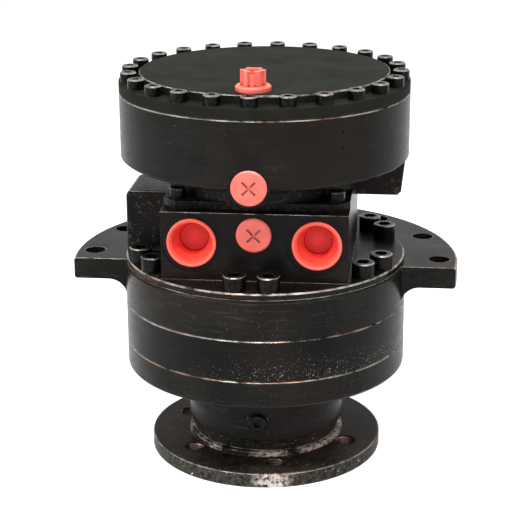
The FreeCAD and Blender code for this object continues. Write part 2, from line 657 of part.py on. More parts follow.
def make_brake_housing():
    body = turned([
        (SHAFT_ROOM_R, BLOCK_TOP_Z), (BRAKE_NECK_R - EDGE, BLOCK_TOP_Z), (BRAKE_NECK_R - EDGE, BLOCK_TOP_Z + LIP),
        (BRAKE_NECK_R, BLOCK_TOP_Z + LIP), (BRAKE_NECK_R, BRAKE_NECK_Z, FLARE_ROUND), (FLARE_R, FLARE_Z, FLARE_ROUND),
        (FLARE_LIP_R, FLARE_LIP_Z), (DRUM_R, DRUM_Z, LIP), (DRUM_R, BRAKE_TOP_Z - EDGE),
        (DRUM_R - EDGE, BRAKE_TOP_Z), (BRAKE_BORE_R, BRAKE_TOP_Z), (BRAKE_BORE_R, PISTON_BORE_Z),
        (SEAL_LAND_R, PISTON_BORE_Z), (SEAL_LAND_R, SEAL_LAND_Z), (DISC_BORE_R, SEAL_LAND_Z),
        (DISC_BORE_R, BRAKE_FLOOR_Z), (SHAFT_ROOM_R, BRAKE_FLOOR_Z)])
    base = box(-BLOCK_HALF_X, BLOCK_HALF_X, -BLOCK_BACK_Y, BLOCK_BACK_Y, BLOCK_TOP_Z, BRAKE_SCREW_SEAT_Z)
    base = base.common(tube(SHAFT_ROOM_R, BRAKE_BASE_R, BLOCK_TOP_Z - PAST, DRUM_Z))
    pad = cyl_y(BRAKE_PAD_R, BRAKE_PORT_Y - LIP, -BRAKE_NECK_R - BRAKE_SHAFT_ROUND, 0, BRAKE_PORT_Z)
    pad = pad.cut(cyl(DISC_BORE_R + PAD_CLEAR, BRAKE_FLOOR_Z - LUG_ROUND, BRAKE_TOP_Z))
    body = body.fuse([base, make_lug(), pad])
    cuts = holes(SMALL_TAP_R, BRAKE_TOP_Z - COVER_TAP_DEPTH, BRAKE_TOP_Z + PAST, COVER_SCREW_PLACES)
    cuts += holes(SMALL_HOLE_R, BLOCK_TOP_Z - PAST, BRAKE_SCREW_SEAT_Z + PAST, BRAKE_SCREW_PLACES)
    cuts += holes(SMALL_HEAD_R + LIP, BRAKE_SCREW_SEAT_Z, BRAKE_SCREW_SEAT_Z + SMALL_HEAD_H + EDGE,
                  BRAKE_SCREW_PLACES)
    slot = box(-TAB_HALF - TAB_SIDE, TAB_HALF + TAB_SIDE, -SLOT_R - PAST, TAB_IN - DISC_BORE_R,
               BRAKE_FLOOR_Z, SEAL_LAND_Z + FIT)
    cuts += around(slot.common(cyl(SLOT_R, BRAKE_FLOOR_Z - PAST, BRAKE_TOP_Z)), BRAKE_TABS, 180.0 / BRAKE_TABS)
    cuts.append(cyl_y(BRAKE_SEAT_R, BRAKE_PORT_Y - PAD_CLEAR, BRAKE_PORT_Y, 0, BRAKE_PORT_Z))
    cuts.append(cyl_y(SMALL_PORT_R, BRAKE_PORT_Y - PAST, BRAKE_PORT_Y + BRAKE_PORT_DEPTH, 0, BRAKE_PORT_Z))
    cuts.append(cyl_y(BRAKE_DRILL_R, BRAKE_PORT_Y + BRAKE_PORT_DEPTH - PAST, BRAKE_DRILL_Y, 0, BRAKE_PORT_Z))
    cuts.append(cyl(BRAKE_DRILL_R, BRAKE_PORT_Z, PISTON_BORE_Z + PAST, 0, BRAKE_DRILL_Y))
    cuts.append(o_groove(COVER_O_R, COVER_O_HALF, BRAKE_TOP_Z - COVER_O_DEPTH, BRAKE_TOP_Z + PAST))
    cuts.append(o_groove(BASE_O_R, BASE_O_HALF, BLOCK_TOP_Z - PAST, BLOCK_TOP_Z + O_GROOVE))
    mark = direction(MARK_PHI, DRUM_R)
    for z in MARK_ZS:
        cuts.append(Part.makeSphere(MARK_R, V(mark.x, mark.y, z)))
    return body.cut(cuts)


def make_brake_cover():
    body = turned([
        (0, SPRING_TOP_Z), (BRAKE_BORE_R - GAP, SPRING_TOP_Z), (BRAKE_BORE_R - GAP, BRAKE_TOP_Z),
        (DRUM_R - EDGE, BRAKE_TOP_Z), (DRUM_R, BRAKE_TOP_Z + EDGE), (DRUM_R, LEDGE_Z, LIP),
        (PLATEAU_R, LEDGE_Z), (PLATEAU_R, PLATEAU_Z, PLATEAU_ROUND), (0, PLATEAU_Z)])
    cuts = holes(SMALL_HOLE_R, BRAKE_TOP_Z - PAST, LEDGE_Z + PAST, COVER_SCREW_PLACES)
    cuts.append(cyl(SMALL_PORT_R, SPRING_TOP_Z - PAST, PLATEAU_Z + PAST, 0, BLEED_Y))
    return body.cut(cuts)


def make_drive_shaft():
    body = turned([
        (0, PILOT_DEPTH), (PILOT_R, PILOT_DEPTH), (PILOT_R, 0), (FLANGE_R - LIP, 0), (FLANGE_R, LIP),
        (FLANGE_R, FLANGE_T, LIP), (HUB_RING_R + LIP, FLANGE_T, EDGE), (HUB_RING_R, HUB_RING_Z, EDGE),
        (HUB_R, HUB_RING_Z + LIP, LIP), (HUB_R, HUB_TOP_Z), (SEAL_JOURNAL_R, HUB_TOP_Z),
        (SEAL_JOURNAL_R, LOWER_BEARING_Z), (BEARING_JOURNAL_R, LOWER_BEARING_Z), (BEARING_JOURNAL_R, NUT_Z),
        (NUT_JOURNAL_R, NUT_Z), (NUT_JOURNAL_R, SPLINE_Z), (SPLINE_ROOT_R, SPLINE_Z),
        (SPLINE_ROOT_R, SPLINE_Z + LIP), (0, SPLINE_Z + LIP)])
    body = body.fuse(spline(SPLINE_ROOT_R, SPLINE_TIP_R, SPLINE_TEETH, TOOTH_SHARE, SPLINE_Z, SHAFT_TOP_Z))
    wheel_phis = [WHEEL_PHI + 360.0 * i / WHEEL_HOLES for i in range(WHEEL_HOLES)]
    cuts = holes(WHEEL_HOLE_R, -PAST, HUB_RING_Z + PAST, places(WHEEL_PCD_R, wheel_phis))
    return body.cut(cuts).removeSplitter()


def piston_phi(i):
    return PISTON_PHI + 360.0 * i / PISTONS


def radial(r, start, end, phi):
    """Cylinder along a piston's axis, between two distances from the shaft's axis."""
    return Part.makeCylinder(r, end - start, direction(phi, start, PISTON_Z), direction(phi))


def make_cylinder_block():
    body = turned([(BLOCK_CORE_R, BLOCK_Z0), (BLOCK_R - BLOCK_EDGE, BLOCK_Z0), (BLOCK_R, BLOCK_Z0 + BLOCK_EDGE),
                   (BLOCK_R, BLOCK_Z1 - BLOCK_EDGE), (BLOCK_R - BLOCK_EDGE, BLOCK_Z1), (BLOCK_CORE_R, BLOCK_Z1)])
    cuts = [spline(SPLINE_ROOT_R + FIT, SPLINE_TIP_R + FIT, SPLINE_TEETH, SPACE_SHARE, BLOCK_Z0 - PAST,
                   SHAFT_TOP_Z + LIP / 2)]
    for i in range(PISTONS):
        phi = piston_phi(i)
        cuts.append(radial(PISTON_BORE_R, PISTON_BORE_IN, BLOCK_R + PAST, phi))
        cuts += holes(FEED_HOLE_R, PISTON_Z, BLOCK_Z1 + PAST, places(FEED_R, [phi]))
    keyway = box(-KEY_HALF - FIT, KEY_HALF + FIT, -KEY_TIP_R - TAB_SIDE, -KEY_IN_R, SHAFT_TOP_Z, BLOCK_Z1 + PAST)
    return body.cut(cuts + around(keyway, KEYS))


def make_brake_shaft():
    hub_z = BRAKE_FLOOR_Z + GAP
    hub_top = STACK_TOP_Z - GAP
    body = turned([(0, BRAKE_SHAFT_BOTTOM_Z), (BRAKE_SHAFT_R, BRAKE_SHAFT_BOTTOM_Z),
                   (BRAKE_SHAFT_R, BRAKE_FLOOR_Z - LUG_ROUND, BRAKE_SHAFT_ROUND), (SHAFT_ROOM_R - SINK, hub_z),
                   (HUB_SPLINE_R, hub_z), (HUB_SPLINE_R, hub_top), (BRAKE_WEB_R, hub_top),
                   (BRAKE_WEB_R, BRAKE_WEB_Z), (0, BRAKE_WEB_Z)])
    key = box(-KEY_HALF, KEY_HALF, -KEY_TIP_R, -KEY_IN_R, BRAKE_SHAFT_BOTTOM_Z, BLOCK_Z1)
    body = body.fuse(around(key, KEYS))
    slot = box(-HUB_SLOT_HALF, HUB_SLOT_HALF, -HUB_SPLINE_R - PAD_CLEAR, -HUB_SLOT_R, BRAKE_FLOOR_Z - PAST,
               STACK_TOP_Z + PAST)
    web_phis = [360.0 * i / BRAKE_WEB_HOLES for i in range(BRAKE_WEB_HOLES)]
    return body.cut(around(slot, BRAKE_TABS)
                    + holes(BRAKE_WEB_HOLE_R, BRAKE_FLOOR_Z - PAST, STACK_TOP_Z + PAST,
                            places(BRAKE_WEB_PCD_R, web_phis)))


def make_outer_discs():
    discs = []
    for i in range(0, BRAKE_DISCS, 2):
        z = BRAKE_FLOOR_Z + i * DISC_PITCH
        disc = tube(HUB_SPLINE_R + OUTER_DISC_CLEAR, DISC_BORE_R - LIP / 2, z, z + DISC_PITCH)
        tab = box(-TAB_HALF, TAB_HALF, GAP - SLOT_R, TAB_ROOT - DISC_BORE_R, z, z + DISC_PITCH)
        discs.append(disc.fuse(around(tab, BRAKE_TABS, 180.0 / BRAKE_TABS)))
    return group(discs)


def make_inner_discs():
    discs = []
    for i in range(1, BRAKE_DISCS, 2):
        z = BRAKE_FLOOR_Z + i * DISC_PITCH + (DISC_PITCH - FACING_T) / 2
        disc = tube(HUB_SPLINE_R + INNER_DISC_CLEAR, DISC_BORE_R - FACING_INSET, z, z + FACING_T)
        tooth = box(GAP - HUB_SLOT_HALF, HUB_SLOT_HALF - GAP, -HUB_SPLINE_R - DISC_TOOTH,
                    -HUB_SLOT_R - DISC_TOOTH_GAP, z, z + FACING_T)
        discs.append(disc.fuse(around(tooth, BRAKE_TABS)))
    return group(discs)


def make_brake_piston():
    land_z = SEAL_LAND_Z + TAB_SIDE
    step_z = PISTON_BORE_Z + LIP / 2
    land_r = SEAL_LAND_R - BRAKE_PISTON_FIT
    bore_r = BRAKE_BORE_R - BRAKE_PISTON_FIT
    foot_r = DISC_BORE_R - BRAKE_PISTON_INSET
    body = turned([
        (BRAKE_PISTON_CORE_R, BRAKE_PISTON_WEB_Z), (BRAKE_PISTON_FOOT_R, BRAKE_PISTON_WEB_Z),
        (BRAKE_PISTON_FOOT_R, STACK_TOP_Z), (foot_r, STACK_TOP_Z), (foot_r, land_z), (land_r, land_z),
        (land_r, step_z), (bore_r, step_z), (bore_r, BRAKE_PISTON_TOP_Z), (BRAKE_PISTON_CORE_R, BRAKE_PISTON_TOP_Z)])
    return body.cut([tube(SEAL_LAND_R - BRAKE_SEAL_DEPTH, SEAL_LAND_R + LIP, LAND_SEAL_Z - BRAKE_SEAL_HALF,
                          LAND_SEAL_Z + BRAKE_SEAL_HALF),
                     tube(BRAKE_BORE_R - BRAKE_SEAL_DEPTH, BRAKE_BORE_R + LIP, BORE_SEAL_Z - BRAKE_SEAL_HALF,
                          BORE_SEAL_Z + BRAKE_SEAL_HALF)])


def make_brake_piston_seals():
    return group([o_ring(SEAL_LAND_R - BRAKE_SEAL_IN, BRAKE_SEAL_MINOR, LAND_SEAL_Z),
                  o_ring(BRAKE_BORE_R - BRAKE_SEAL_IN, BRAKE_SEAL_MINOR, BORE_SEAL_Z)])


def make_brake_spring():
    return turned([(SPRING_IN_R, SPRING_TOP_Z - SPRING_T), (SPRING_OUT_R, BRAKE_PISTON_TOP_Z),
                   (SPRING_OUT_R, BRAKE_PISTON_TOP_Z + SPRING_T), (SPRING_IN_R, SPRING_TOP_Z)])


def bearing_line(angle, z, apex):
    return abs(z - apex) * math.tan(math.radians(angle))


def bearing_apex(z0, sign):
    return z0 + BEARING_H / 2 + sign * APEX_DISTANCE


def make_cup(z0, sign):
    apex = bearing_apex(z0, sign)
    z1 = z0 + BEARING_H
    return turned([(bearing_line(CUP_ANGLE, z0, apex) + BEARING_PLAY, z0), (CUP_R, z0), (CUP_R, z1),
                   (bearing_line(CUP_ANGLE, z1, apex) + BEARING_PLAY, z1)])


def make_cone(z0, sign):
    apex = bearing_apex(z0, sign)
    z1 = z0 + BEARING_H
    return turned([(BEARING_JOURNAL_R, z0), (bearing_line(CONE_ANGLE, z0, apex) - BEARING_PLAY, z0),
                   (bearing_line(CONE_ANGLE, z1, apex) - BEARING_PLAY, z1), (BEARING_JOURNAL_R, z1)])


def roller_solid(z0, sign, grow):
    """One tapered roller in front of the axis; its own axis runs through the bearing's apex."""
    apex = V(0, 0, bearing_apex(z0, sign))
    tilt = math.radians(ROLLER_TILT)
    half = math.radians((CUP_ANGLE - CONE_ANGLE) / 2)
    way = V(0, -math.sin(tilt), -sign * math.cos(tilt))
    mid = APEX_DISTANCE / math.cos(tilt)
    near = mid - BEARING_ROLLER_L / 2 - grow
    far = mid + BEARING_ROLLER_L / 2 + grow
    base = apex.add(V(way).multiply(near))
    return Part.makeCone(near * math.tan(half) + grow, far * math.tan(half) + grow, far - near, base, way)


def make_bearing_rollers(z0, sign):
    return group(around(roller_solid(z0, sign, -BEARING_PLAY / 3), BEARING_ROLLERS))


def make_cage(z0, sign):
    apex = bearing_apex(z0, sign)
    low = z0 + CAGE_INSET
    high = z0 + BEARING_H - CAGE_INSET
    low_r = bearing_line(ROLLER_TILT, low, apex)
    high_r = bearing_line(ROLLER_TILT, high, apex)
    half = CAGE_T / 2
    shell = turned([(low_r - half, low), (low_r + half, low), (high_r + half, high), (high_r - half, high)])
    return shell.cut(around(roller_solid(z0, sign, 4 * BEARING_PLAY), BEARING_ROLLERS))


def make_bearing_nut():
    top = NUT_Z + NUT_T
    ring = turned([(NUT_JOURNAL_R, NUT_Z), (NUT_R - LIP, NUT_Z), (NUT_R, NUT_Z + LIP), (NUT_R, top - LIP),
                   (NUT_R - LIP, top), (NUT_JOURNAL_R, top)])
    slot = box(-NUT_SLOT_HALF, NUT_SLOT_HALF, -NUT_R - SINK, NUT_SLOT_DEPTH - NUT_R, NUT_Z - PAST, top + PAST)
    return ring.cut(around(slot, 4, 45.0))


def make_shaft_seal():
    """Rotary lip seal: a pressed shell with a lip that leans on the journal."""
    shell = SEAL_BORE_R - GAP
    lip = SEAL_JOURNAL_R + GAP
    web = SEAL_Z + SEAL_WEB_T
    return turned([(shell, SEAL_Z), (shell, SEAL_Z + SEAL_T), (shell - SEAL_SHELL_T, SEAL_Z + SEAL_T),
                   (shell - SEAL_SHELL_T, web), (lip + SEAL_LIP_T + LIP, web), (lip + SEAL_LIP_T, SEAL_LIP_Z + LIP),
                   (lip, SEAL_LIP_Z), (lip + LIP / 2, SEAL_Z + SINK), (lip + SEAL_FOOT_T, SEAL_Z)])


def make_case_seals():
    sit = O_MINOR + FIT
    return group([o_ring(CASE_O_R, O_MINOR, CAM_BOTTOM_Z - sit), o_ring(CASE_O_R, O_MINOR, CAM_TOP_Z + sit),
                  o_ring(SPIGOT_O_R, O_MINOR, CASE_TOP_Z - sit), o_ring(BASE_O_R, O_MINOR, BLOCK_TOP_Z + sit),
                  o_ring(COVER_O_R, BRAKE_SEAL_MINOR, BRAKE_TOP_Z - BRAKE_SEAL_MINOR - FIT)])


def make_distributor():
    bottom = BLOCK_Z1 + GAP
    body = turned([(DIST_CORE_R, bottom), (DIST_R - LIP, bottom), (DIST_R, bottom + LIP), (DIST_R, DIST_STEP_Z),
                   (DIST_NECK_R, DIST_STEP_Z), (DIST_NECK_R, DIST_TOP_Z), (DIST_CORE_R, DIST_TOP_Z)])
    half = DIST_GROOVE_H / 2
    cuts = [tube(DIST_R - DIST_GROOVE_DEPTH, DIST_R + SINK, DIST_LOWER_SEAL_Z - half, DIST_LOWER_SEAL_Z + half),
            tube(DIST_NECK_R - DIST_GROOVE_DEPTH, DIST_NECK_R + SINK, DIST_UPPER_SEAL_Z - half,
                 DIST_UPPER_SEAL_Z + half)]
    feed_phis = [360.0 * (i + 0.5) / FEED_HOLES for i in range(FEED_HOLES)]
    cuts += holes(FEED_HOLE_R, BLOCK_Z1 - PAST, DIST_TOP_Z - FEED_TOP_WALL, places(FEED_R, feed_phis))
    return body.cut(cuts)


def make_distributor_seals():
    return group([o_ring(DIST_R - LIP, DIST_SEAL_MINOR, DIST_LOWER_SEAL_Z),
                  o_ring(DIST_NECK_R - LIP, DIST_SEAL_MINOR, DIST_UPPER_SEAL_Z)])


def make_piston(i):
    phi = piston_phi(i)
    body = radial(PISTON_R, PISTON_IN, PISTON_OUT, phi)
    well = radial(WELL_R, PISTON_IN - PAST, PISTON_IN + WELL_DEPTH, phi)
    half = ROLLER_L / 2 + CRADLE_END
    cradle = holes(CRADLE_R, PISTON_Z - half, PISTON_Z + half, places(ROLLER_CENTRE, [phi]))
    outside = radial(PISTON_R + PAST, RING_PLACE, RING_PLACE + RING_T, phi)
    inside = radial(PISTON_R - RING_DEPTH, RING_PLACE, RING_PLACE + RING_T, phi)
    return body.cut([well, outside.cut(inside)] + cradle)


def make_roller(i):
    spot = direction(piston_phi(i), ROLLER_CENTRE)
    low = PISTON_Z - ROLLER_L / 2
    high = PISTON_Z + ROLLER_L / 2
    body = turned([(0, low), (ROLLER_R - ROLLER_EDGE, low), (ROLLER_R, low + ROLLER_EDGE),
                   (ROLLER_R, high - ROLLER_EDGE), (ROLLER_R - ROLLER_EDGE, high), (0, high)])
    body.translate(V(spot.x, spot.y, 0))
    return body


def make_spool():
    waist = SPOOL_WAIST_IN + SPOOL_WAIST_L
    spool = turned([(0, 0), (SPOOL_R - SPOOL_HEAD_L, 0), (SPOOL_R, SPOOL_HEAD_L), (SPOOL_R, SPOOL_WAIST_IN),
                    (SPOOL_WAIST_R, SPOOL_WAIST_IN), (SPOOL_WAIST_R, waist), (SPOOL_R, waist),
                    (SPOOL_R, SPOOL_L - SPOOL_HEAD_L), (SPOOL_R - SPOOL_HEAD_L, SPOOL_L), (0, SPOOL_L)])
    return facing(spool, SPOOL_X, SPOOL_OPEN_Y, SPOOL_Z, 90)


def make_spool_spring():
    """Round-wire spring along Y, from the end of the bore to the spool."""
    start = SPOOL_END_Y
    length = SPOOL_OPEN_Y - SPOOL_L - start - 2 * SPRING_WIRE_R
    helix = Part.makeHelix(length / SPRING_TURNS, length, SPRING_COIL_R)
    section = Part.Wire(Part.makeCircle(SPRING_WIRE_R, V(SPRING_COIL_R, 0, 0), V(0, 1, 0)))
    body = Part.Wire(helix.Edges).makePipeShell([section], True, True)
    return facing(body, SPOOL_X, start + SPRING_WIRE_R, SPOOL_Z, -90)


def make_spool_plug():
    stem = BOSS_Y1 - SPOOL_OPEN_Y
    body = turned([(0, -stem), (SPOOL_BORE_R - FIT, -stem), (SPOOL_BORE_R - FIT, 0), (SPOOL_PLUG_HEAD_R, 0),
                   (SPOOL_PLUG_HEAD_R, SPOOL_PLUG_HEAD_H - LIP), (SPOOL_PLUG_HEAD_R - LIP, SPOOL_PLUG_HEAD_H),
                   (0, SPOOL_PLUG_HEAD_H)])
    body = body.cut(hexagon(SPOOL_PLUG_AF, SPOOL_PLUG_HEAD_H * 0.3, SPOOL_PLUG_HEAD_H + PAST))
    return facing(body, SPOOL_X, BOSS_Y1, SPOOL_Z, -90)


def make_gauge_plug():
    low = CASE_TOP_Z + GAP
    high = DISC_Z + GAUGE_HEAD_H
    body = turned([(0, low), (GAUGE_R - 2 * FIT, low), (GAUGE_R - 2 * FIT, DISC_Z), (GAUGE_HEAD_R, DISC_Z),
                   (GAUGE_HEAD_R, high - EDGE), (GAUGE_HEAD_R - EDGE, high), (0, high)])
    body = body.cut(hexagon(GAUGE_AF, DISC_Z + GAUGE_HEAD_H * 0.3, high + PAST))
    body.translate(V(GAUGE_X, GAUGE_Y, 0))
    return body


def make_neck_plug():
    stem = NECK_PLUG_R - 2 * FIT
    body = turned([(0, -NECK_PLUG_L), (stem, -NECK_PLUG_L), (stem, 0), (NECK_PLUG_HEAD_R, 0),
                   (NECK_PLUG_HEAD_R, NECK_PLUG_HEAD_H - LIP), (NECK_PLUG_HEAD_R - LIP, NECK_PLUG_HEAD_H),
                   (0, NECK_PLUG_HEAD_H)])
    body = body.cut(hexagon(NECK_PLUG_AF, NECK_PLUG_HEAD_H * 0.3, NECK_PLUG_HEAD_H + PAST))
    return facing(body, 0, NECK_PAD_Y, NECK_PLUG_Z, 90)


def make_port_plug(side):
    """Tapered push-in cup with a flat lip."""
    floor = CUP_WALL - CUP_DEPTH
    body = turned([(0, -CUP_DEPTH), (CUP_END_R, -CUP_DEPTH), (CUP_MOUTH_R, 0), (CUP_LIP_R, 0),
                   (CUP_LIP_R, CUP_LIP_T, EDGE), (CUP_MOUTH_R + CUP_MOUTH_FLARE, CUP_LIP_T, EDGE),
                   (CUP_END_R - CUP_END_WALL, floor, LIP), (0, floor)])
    return facing(body, side * PORT_X, FACE_Y + SPOT_DEPTH, PORT_Z, 90)


def plug_shank():
    return [(0, -PLUG_SHANK_L), (PLUG_TIP_R, -PLUG_SHANK_L), (PLUG_SHANK_R, LIP - PLUG_SHANK_L), (PLUG_SHANK_R, 0),
            (PLUG_HEAD_R, 0)]


def make_round_plug(z, y):
    """Screw-in plug with a thin round head and a cross slot."""
    body = turned(plug_shank() + [(PLUG_HEAD_R, PLUG_HEAD_T), (PLUG_HEAD_R - PLUG_EDGE, PLUG_CROWN - PLUG_EDGE_DROP),
                                  (0, PLUG_CROWN)])
    slot = box(-PLUG_SLOT_L, PLUG_SLOT_L, -PLUG_SLOT_HALF, PLUG_SLOT_HALF, PLUG_HEAD_T, PLUG_CROWN + PAST)
    body = body.cut([at_phi(slot, 45.0), at_phi(slot, -45.0)])
    return facing(body, 0, y, z, 90)


def make_bleed_plug():
    """Screw-in plug with a flange and a castellated grip."""
    body = turned(plug_shank() + [
        (PLUG_HEAD_R, GRIP_FLANGE_T - PLUG_EDGE), (PLUG_HEAD_R - LIP, GRIP_FLANGE_T), (GRIP_R, GRIP_FLANGE_T),
        (GRIP_R, GRIP_H), (GRIP_BORE_R, GRIP_H), (GRIP_BORE_R, GRIP_FLOOR), (0, GRIP_FLOOR)])
    rib = box(-GRIP_RIB_HALF, GRIP_RIB_HALF, -GRIP_RIB_R, -GRIP_BORE_R - GRIP_RIB_HALF, GRIP_FLANGE_T - EDGE, GRIP_H)
    body = body.fuse(around(rib, GRIP_RIBS, 180.0 / GRIP_RIBS))
    notch = box(-GRIP_NOTCH_HALF, GRIP_NOTCH_HALF, -GRIP_RIB_R - SINK, LIP - GRIP_BORE_R, GRIP_H - GRIP_NOTCH_H,
                GRIP_H + PAST)
    body = body.cut(around(notch, GRIP_NOTCHES))
    body.translate(V(0, BLEED_Y, PLATEAU_Z))
    return body


def placed(screw, spots):
    screws = []
    for x, y in spots:
        copy = screw.copy()
        copy.translate(V(x, y, 0))
        screws.append(copy)
    return group(screws)


save("front_case", make_front_case())
save("cam_ring", make_cam_ring())
save("flange_case", make_flange_case())
save("valve_cover", make_valve_cover())
save("brake_housing", make_brake_housing())
save("brake_cover", make_brake_cover())
save("drive_shaft", make_drive_shaft())
save("cylinder_block", make_cylinder_block())
save("brake_shaft", make_brake_shaft())
save("outer_brake_discs", make_outer_discs())
save("inner_brake_discs", make_inner_discs())
save("brake_piston", make_brake_piston())
save("brake_piston_seals", make_brake_piston_seals())
save("brake_spring", make_brake_spring())

for side, height, sign in (("lower", LOWER_BEARING_Z, 1), ("upper", UPPER_BEARING_Z, -1)):
    save(side + "_bearing_cup", make_cup(height, sign))
    save(side + "_bearing_cone", make_cone(height, sign))
    save(side + "_bearing_rollers", make_bearing_rollers(height, sign))
    save(side + "_bearing_cage", make_cage(height, sign))

save("bearing_nut", make_bearing_nut())
save("shaft_seal", make_shaft_seal())
save("case_seals", make_case_seals())
save("distributor", make_distributor())
save("distributor_seals", make_distributor_seals())

for number in range(PISTONS):
    save("piston_%d" % (number + 1), make_piston(number))
    save("cam_roller_%d" % (number + 1), make_roller(number))

save("speed_spool", make_spool())
save("spool_spring", make_spool_spring())
save("spool_plug", make_spool_plug())
save("gauge_plug", make_gauge_plug())
save("neck_plug", make_neck_plug())
save("port_plug_left", make_port_plug(-1))
save("port_plug_right", make_port_plug(1))
save("drain_plug", make_round_plug(DRAIN_Z, FACE_Y))
save("brake_port_plug", make_round_plug(BRAKE_PORT_Z, BRAKE_PORT_Y))
save("bleed_plug", make_bleed_plug())

case_screw = socket_screw(DISC_Z, CASE_HEAD_R, CASE_HEAD_H, CASE_HEAD_AF, CASE_SHANK_R, CASE_SHANK_L)
save("case_screws", placed(case_screw, CASE_SCREW_PLACES))
cover_screw = socket_screw(LEDGE_Z, SMALL_HEAD_R, SMALL_HEAD_H, SMALL_HEAD_AF, SMALL_SHANK_R, COVER_SHANK_L)
save("cover_screws", placed(cover_screw, COVER_SCREW_PLACES))
brake_screw = socket_screw(BRAKE_SCREW_SEAT_Z, SMALL_HEAD_R, SMALL_HEAD_H, SMALL_HEAD_AF, SMALL_SHANK_R,
                           BRAKE_SHANK_L)
save("brake_housing_screws", placed(brake_screw, BRAKE_SCREW_PLACES))
dowel = cyl(DOWEL_R, CAM_BOTTOM_Z - DOWEL_DEPTH + DOWEL_END, CAM_TOP_Z + DOWEL_DEPTH - DOWEL_END)
save("case_dowels", placed(dowel, DOWEL_PLACES))
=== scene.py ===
import bpy
import bmesh
import json
import math
from mathutils import Matrix, Vector

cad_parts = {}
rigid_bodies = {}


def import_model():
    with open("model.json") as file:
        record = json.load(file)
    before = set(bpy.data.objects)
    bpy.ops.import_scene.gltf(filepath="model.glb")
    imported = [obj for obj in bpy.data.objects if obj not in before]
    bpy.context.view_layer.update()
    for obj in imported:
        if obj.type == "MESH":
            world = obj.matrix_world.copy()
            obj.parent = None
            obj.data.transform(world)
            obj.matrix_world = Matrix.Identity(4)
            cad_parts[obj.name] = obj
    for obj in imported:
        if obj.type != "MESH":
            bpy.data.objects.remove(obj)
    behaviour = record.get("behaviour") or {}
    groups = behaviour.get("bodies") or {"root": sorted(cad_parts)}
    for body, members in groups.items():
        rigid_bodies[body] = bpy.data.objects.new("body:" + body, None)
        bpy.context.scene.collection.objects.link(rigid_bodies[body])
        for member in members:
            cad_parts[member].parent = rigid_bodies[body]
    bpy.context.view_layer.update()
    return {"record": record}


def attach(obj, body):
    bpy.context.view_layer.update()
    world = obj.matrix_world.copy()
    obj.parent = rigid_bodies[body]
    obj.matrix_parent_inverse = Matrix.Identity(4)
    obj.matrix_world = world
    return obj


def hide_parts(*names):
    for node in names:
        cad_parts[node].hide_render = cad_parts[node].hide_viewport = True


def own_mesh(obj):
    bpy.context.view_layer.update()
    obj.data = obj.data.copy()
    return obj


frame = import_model()

MM = 0.001

# Places that the looks follow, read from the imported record
MOUNTS = {mount["name"]: mount for mount in frame["record"]["mounts"]}
WHEEL_BOLTS = MOUNTS["wheel_bolts"]["dims"]
WHEEL_PCD_R = WHEEL_BOLTS["pcd_mm"] / 2 * MM
WHEEL_HOLES = WHEEL_BOLTS["count"]
WHEEL_HOLE_R = WHEEL_BOLTS["hole_r_mm"] * MM
WHEEL_PHI = math.radians(11.4)
FLANGE_T = 12.0 * MM
THREAD_PITCH = 2.0 * MM
THREAD_DEPTH = 1.0 * MM
THREAD_ROOT_GAP = 0.05 * MM
THREAD_START = 0.8 * MM
THREAD_STEPS_PER_TURN = 28
PORT_LEFT = MOUNTS["port_left"]["pos_m"]
PORT_RIGHT = MOUNTS["port_right"]["pos_m"]

# Where a sand-cast skin starts on two of the castings: axis, machined side, cast side, in millimetres
BOSS_SKIN = ("X", -73.2, -74.2)
DRUM_FOOT_SKIN = ("Z", 253.4, 252.4)
# Height over which dust has settled on the middle ring, in millimetres
RING_DUST = (120.0, 103.0)
# Heights of the corners that are rubbed bare and carry a painted highlight: middle and reach, in millimetres
CASE_SEAMS = ((98.8, 1.5), (132.5, 1.5), (165.0, 3.0))
NECK_EDGES = ((47.0, 1.5),)
BLOCK_EDGES = ((168.0, 3.0), (225.0, 1.5))
DRUM_EDGES = ((304.8, 1.2),)
LID_EDGES = ((304.8, 1.2), (320.5, 1.6))
HUB_EDGES = ((14.8, 2.3),)
RIM_EDGES = ((12.0, 0.8),)
# Height just above the flange disc in millimetres, and the knocked place on its rim in metres
DISC_TOP = 12.9
KNOCKED_RIM = (0.015, -0.096, 0.006)
# Height of the screw heads whose rims carry rubbed metal and a painted highlight
SCREW_HEADS = ((250.0, 82.0),)


def linear(code):
    """sRGB hex to the linear colour that a shader takes."""
    parts = [int(code[i:i + 2], 16) / 255 for i in (1, 3, 5)]
    return tuple(p / 12.92 if p <= 0.04045 else ((p + 0.055) / 1.055) ** 2.4 for p in parts) + (1.0,)


def add(tree, kind, inputs=None, out=0, **settings):
    """Add one node with its settings and links, and give back the output that the next node takes."""
    node = tree.nodes.new(kind)
    for name, value in settings.items():
        setattr(node, name, value)
    for socket, value in (inputs or {}).items():
        if isinstance(value, bpy.types.NodeSocket):
            tree.links.new(value, node.inputs[socket])
        else:
            node.inputs[socket].default_value = value
    return node.outputs[out] if len(node.outputs) else None


def new_finish(name):
    """Empty material, its tree, and the place on the piece in metres."""
    material = bpy.data.materials.new(name)
    material.use_nodes = True
    material.node_tree.nodes.clear()
    return material, material.node_tree, add(material.node_tree, "ShaderNodeTexCoord", out="Object")


def close_finish(tree, surface, height, strength, depth_mm):
    """Join the shader, its relief and the output."""
    relief = add(tree, "ShaderNodeBump", {"Height": height, "Strength": strength, "Distance": depth_mm * MM})
    shader = add(tree, "ShaderNodeBsdfPrincipled", {**surface, "Normal": relief})
    add(tree, "ShaderNodeOutputMaterial", {"Surface": shader})


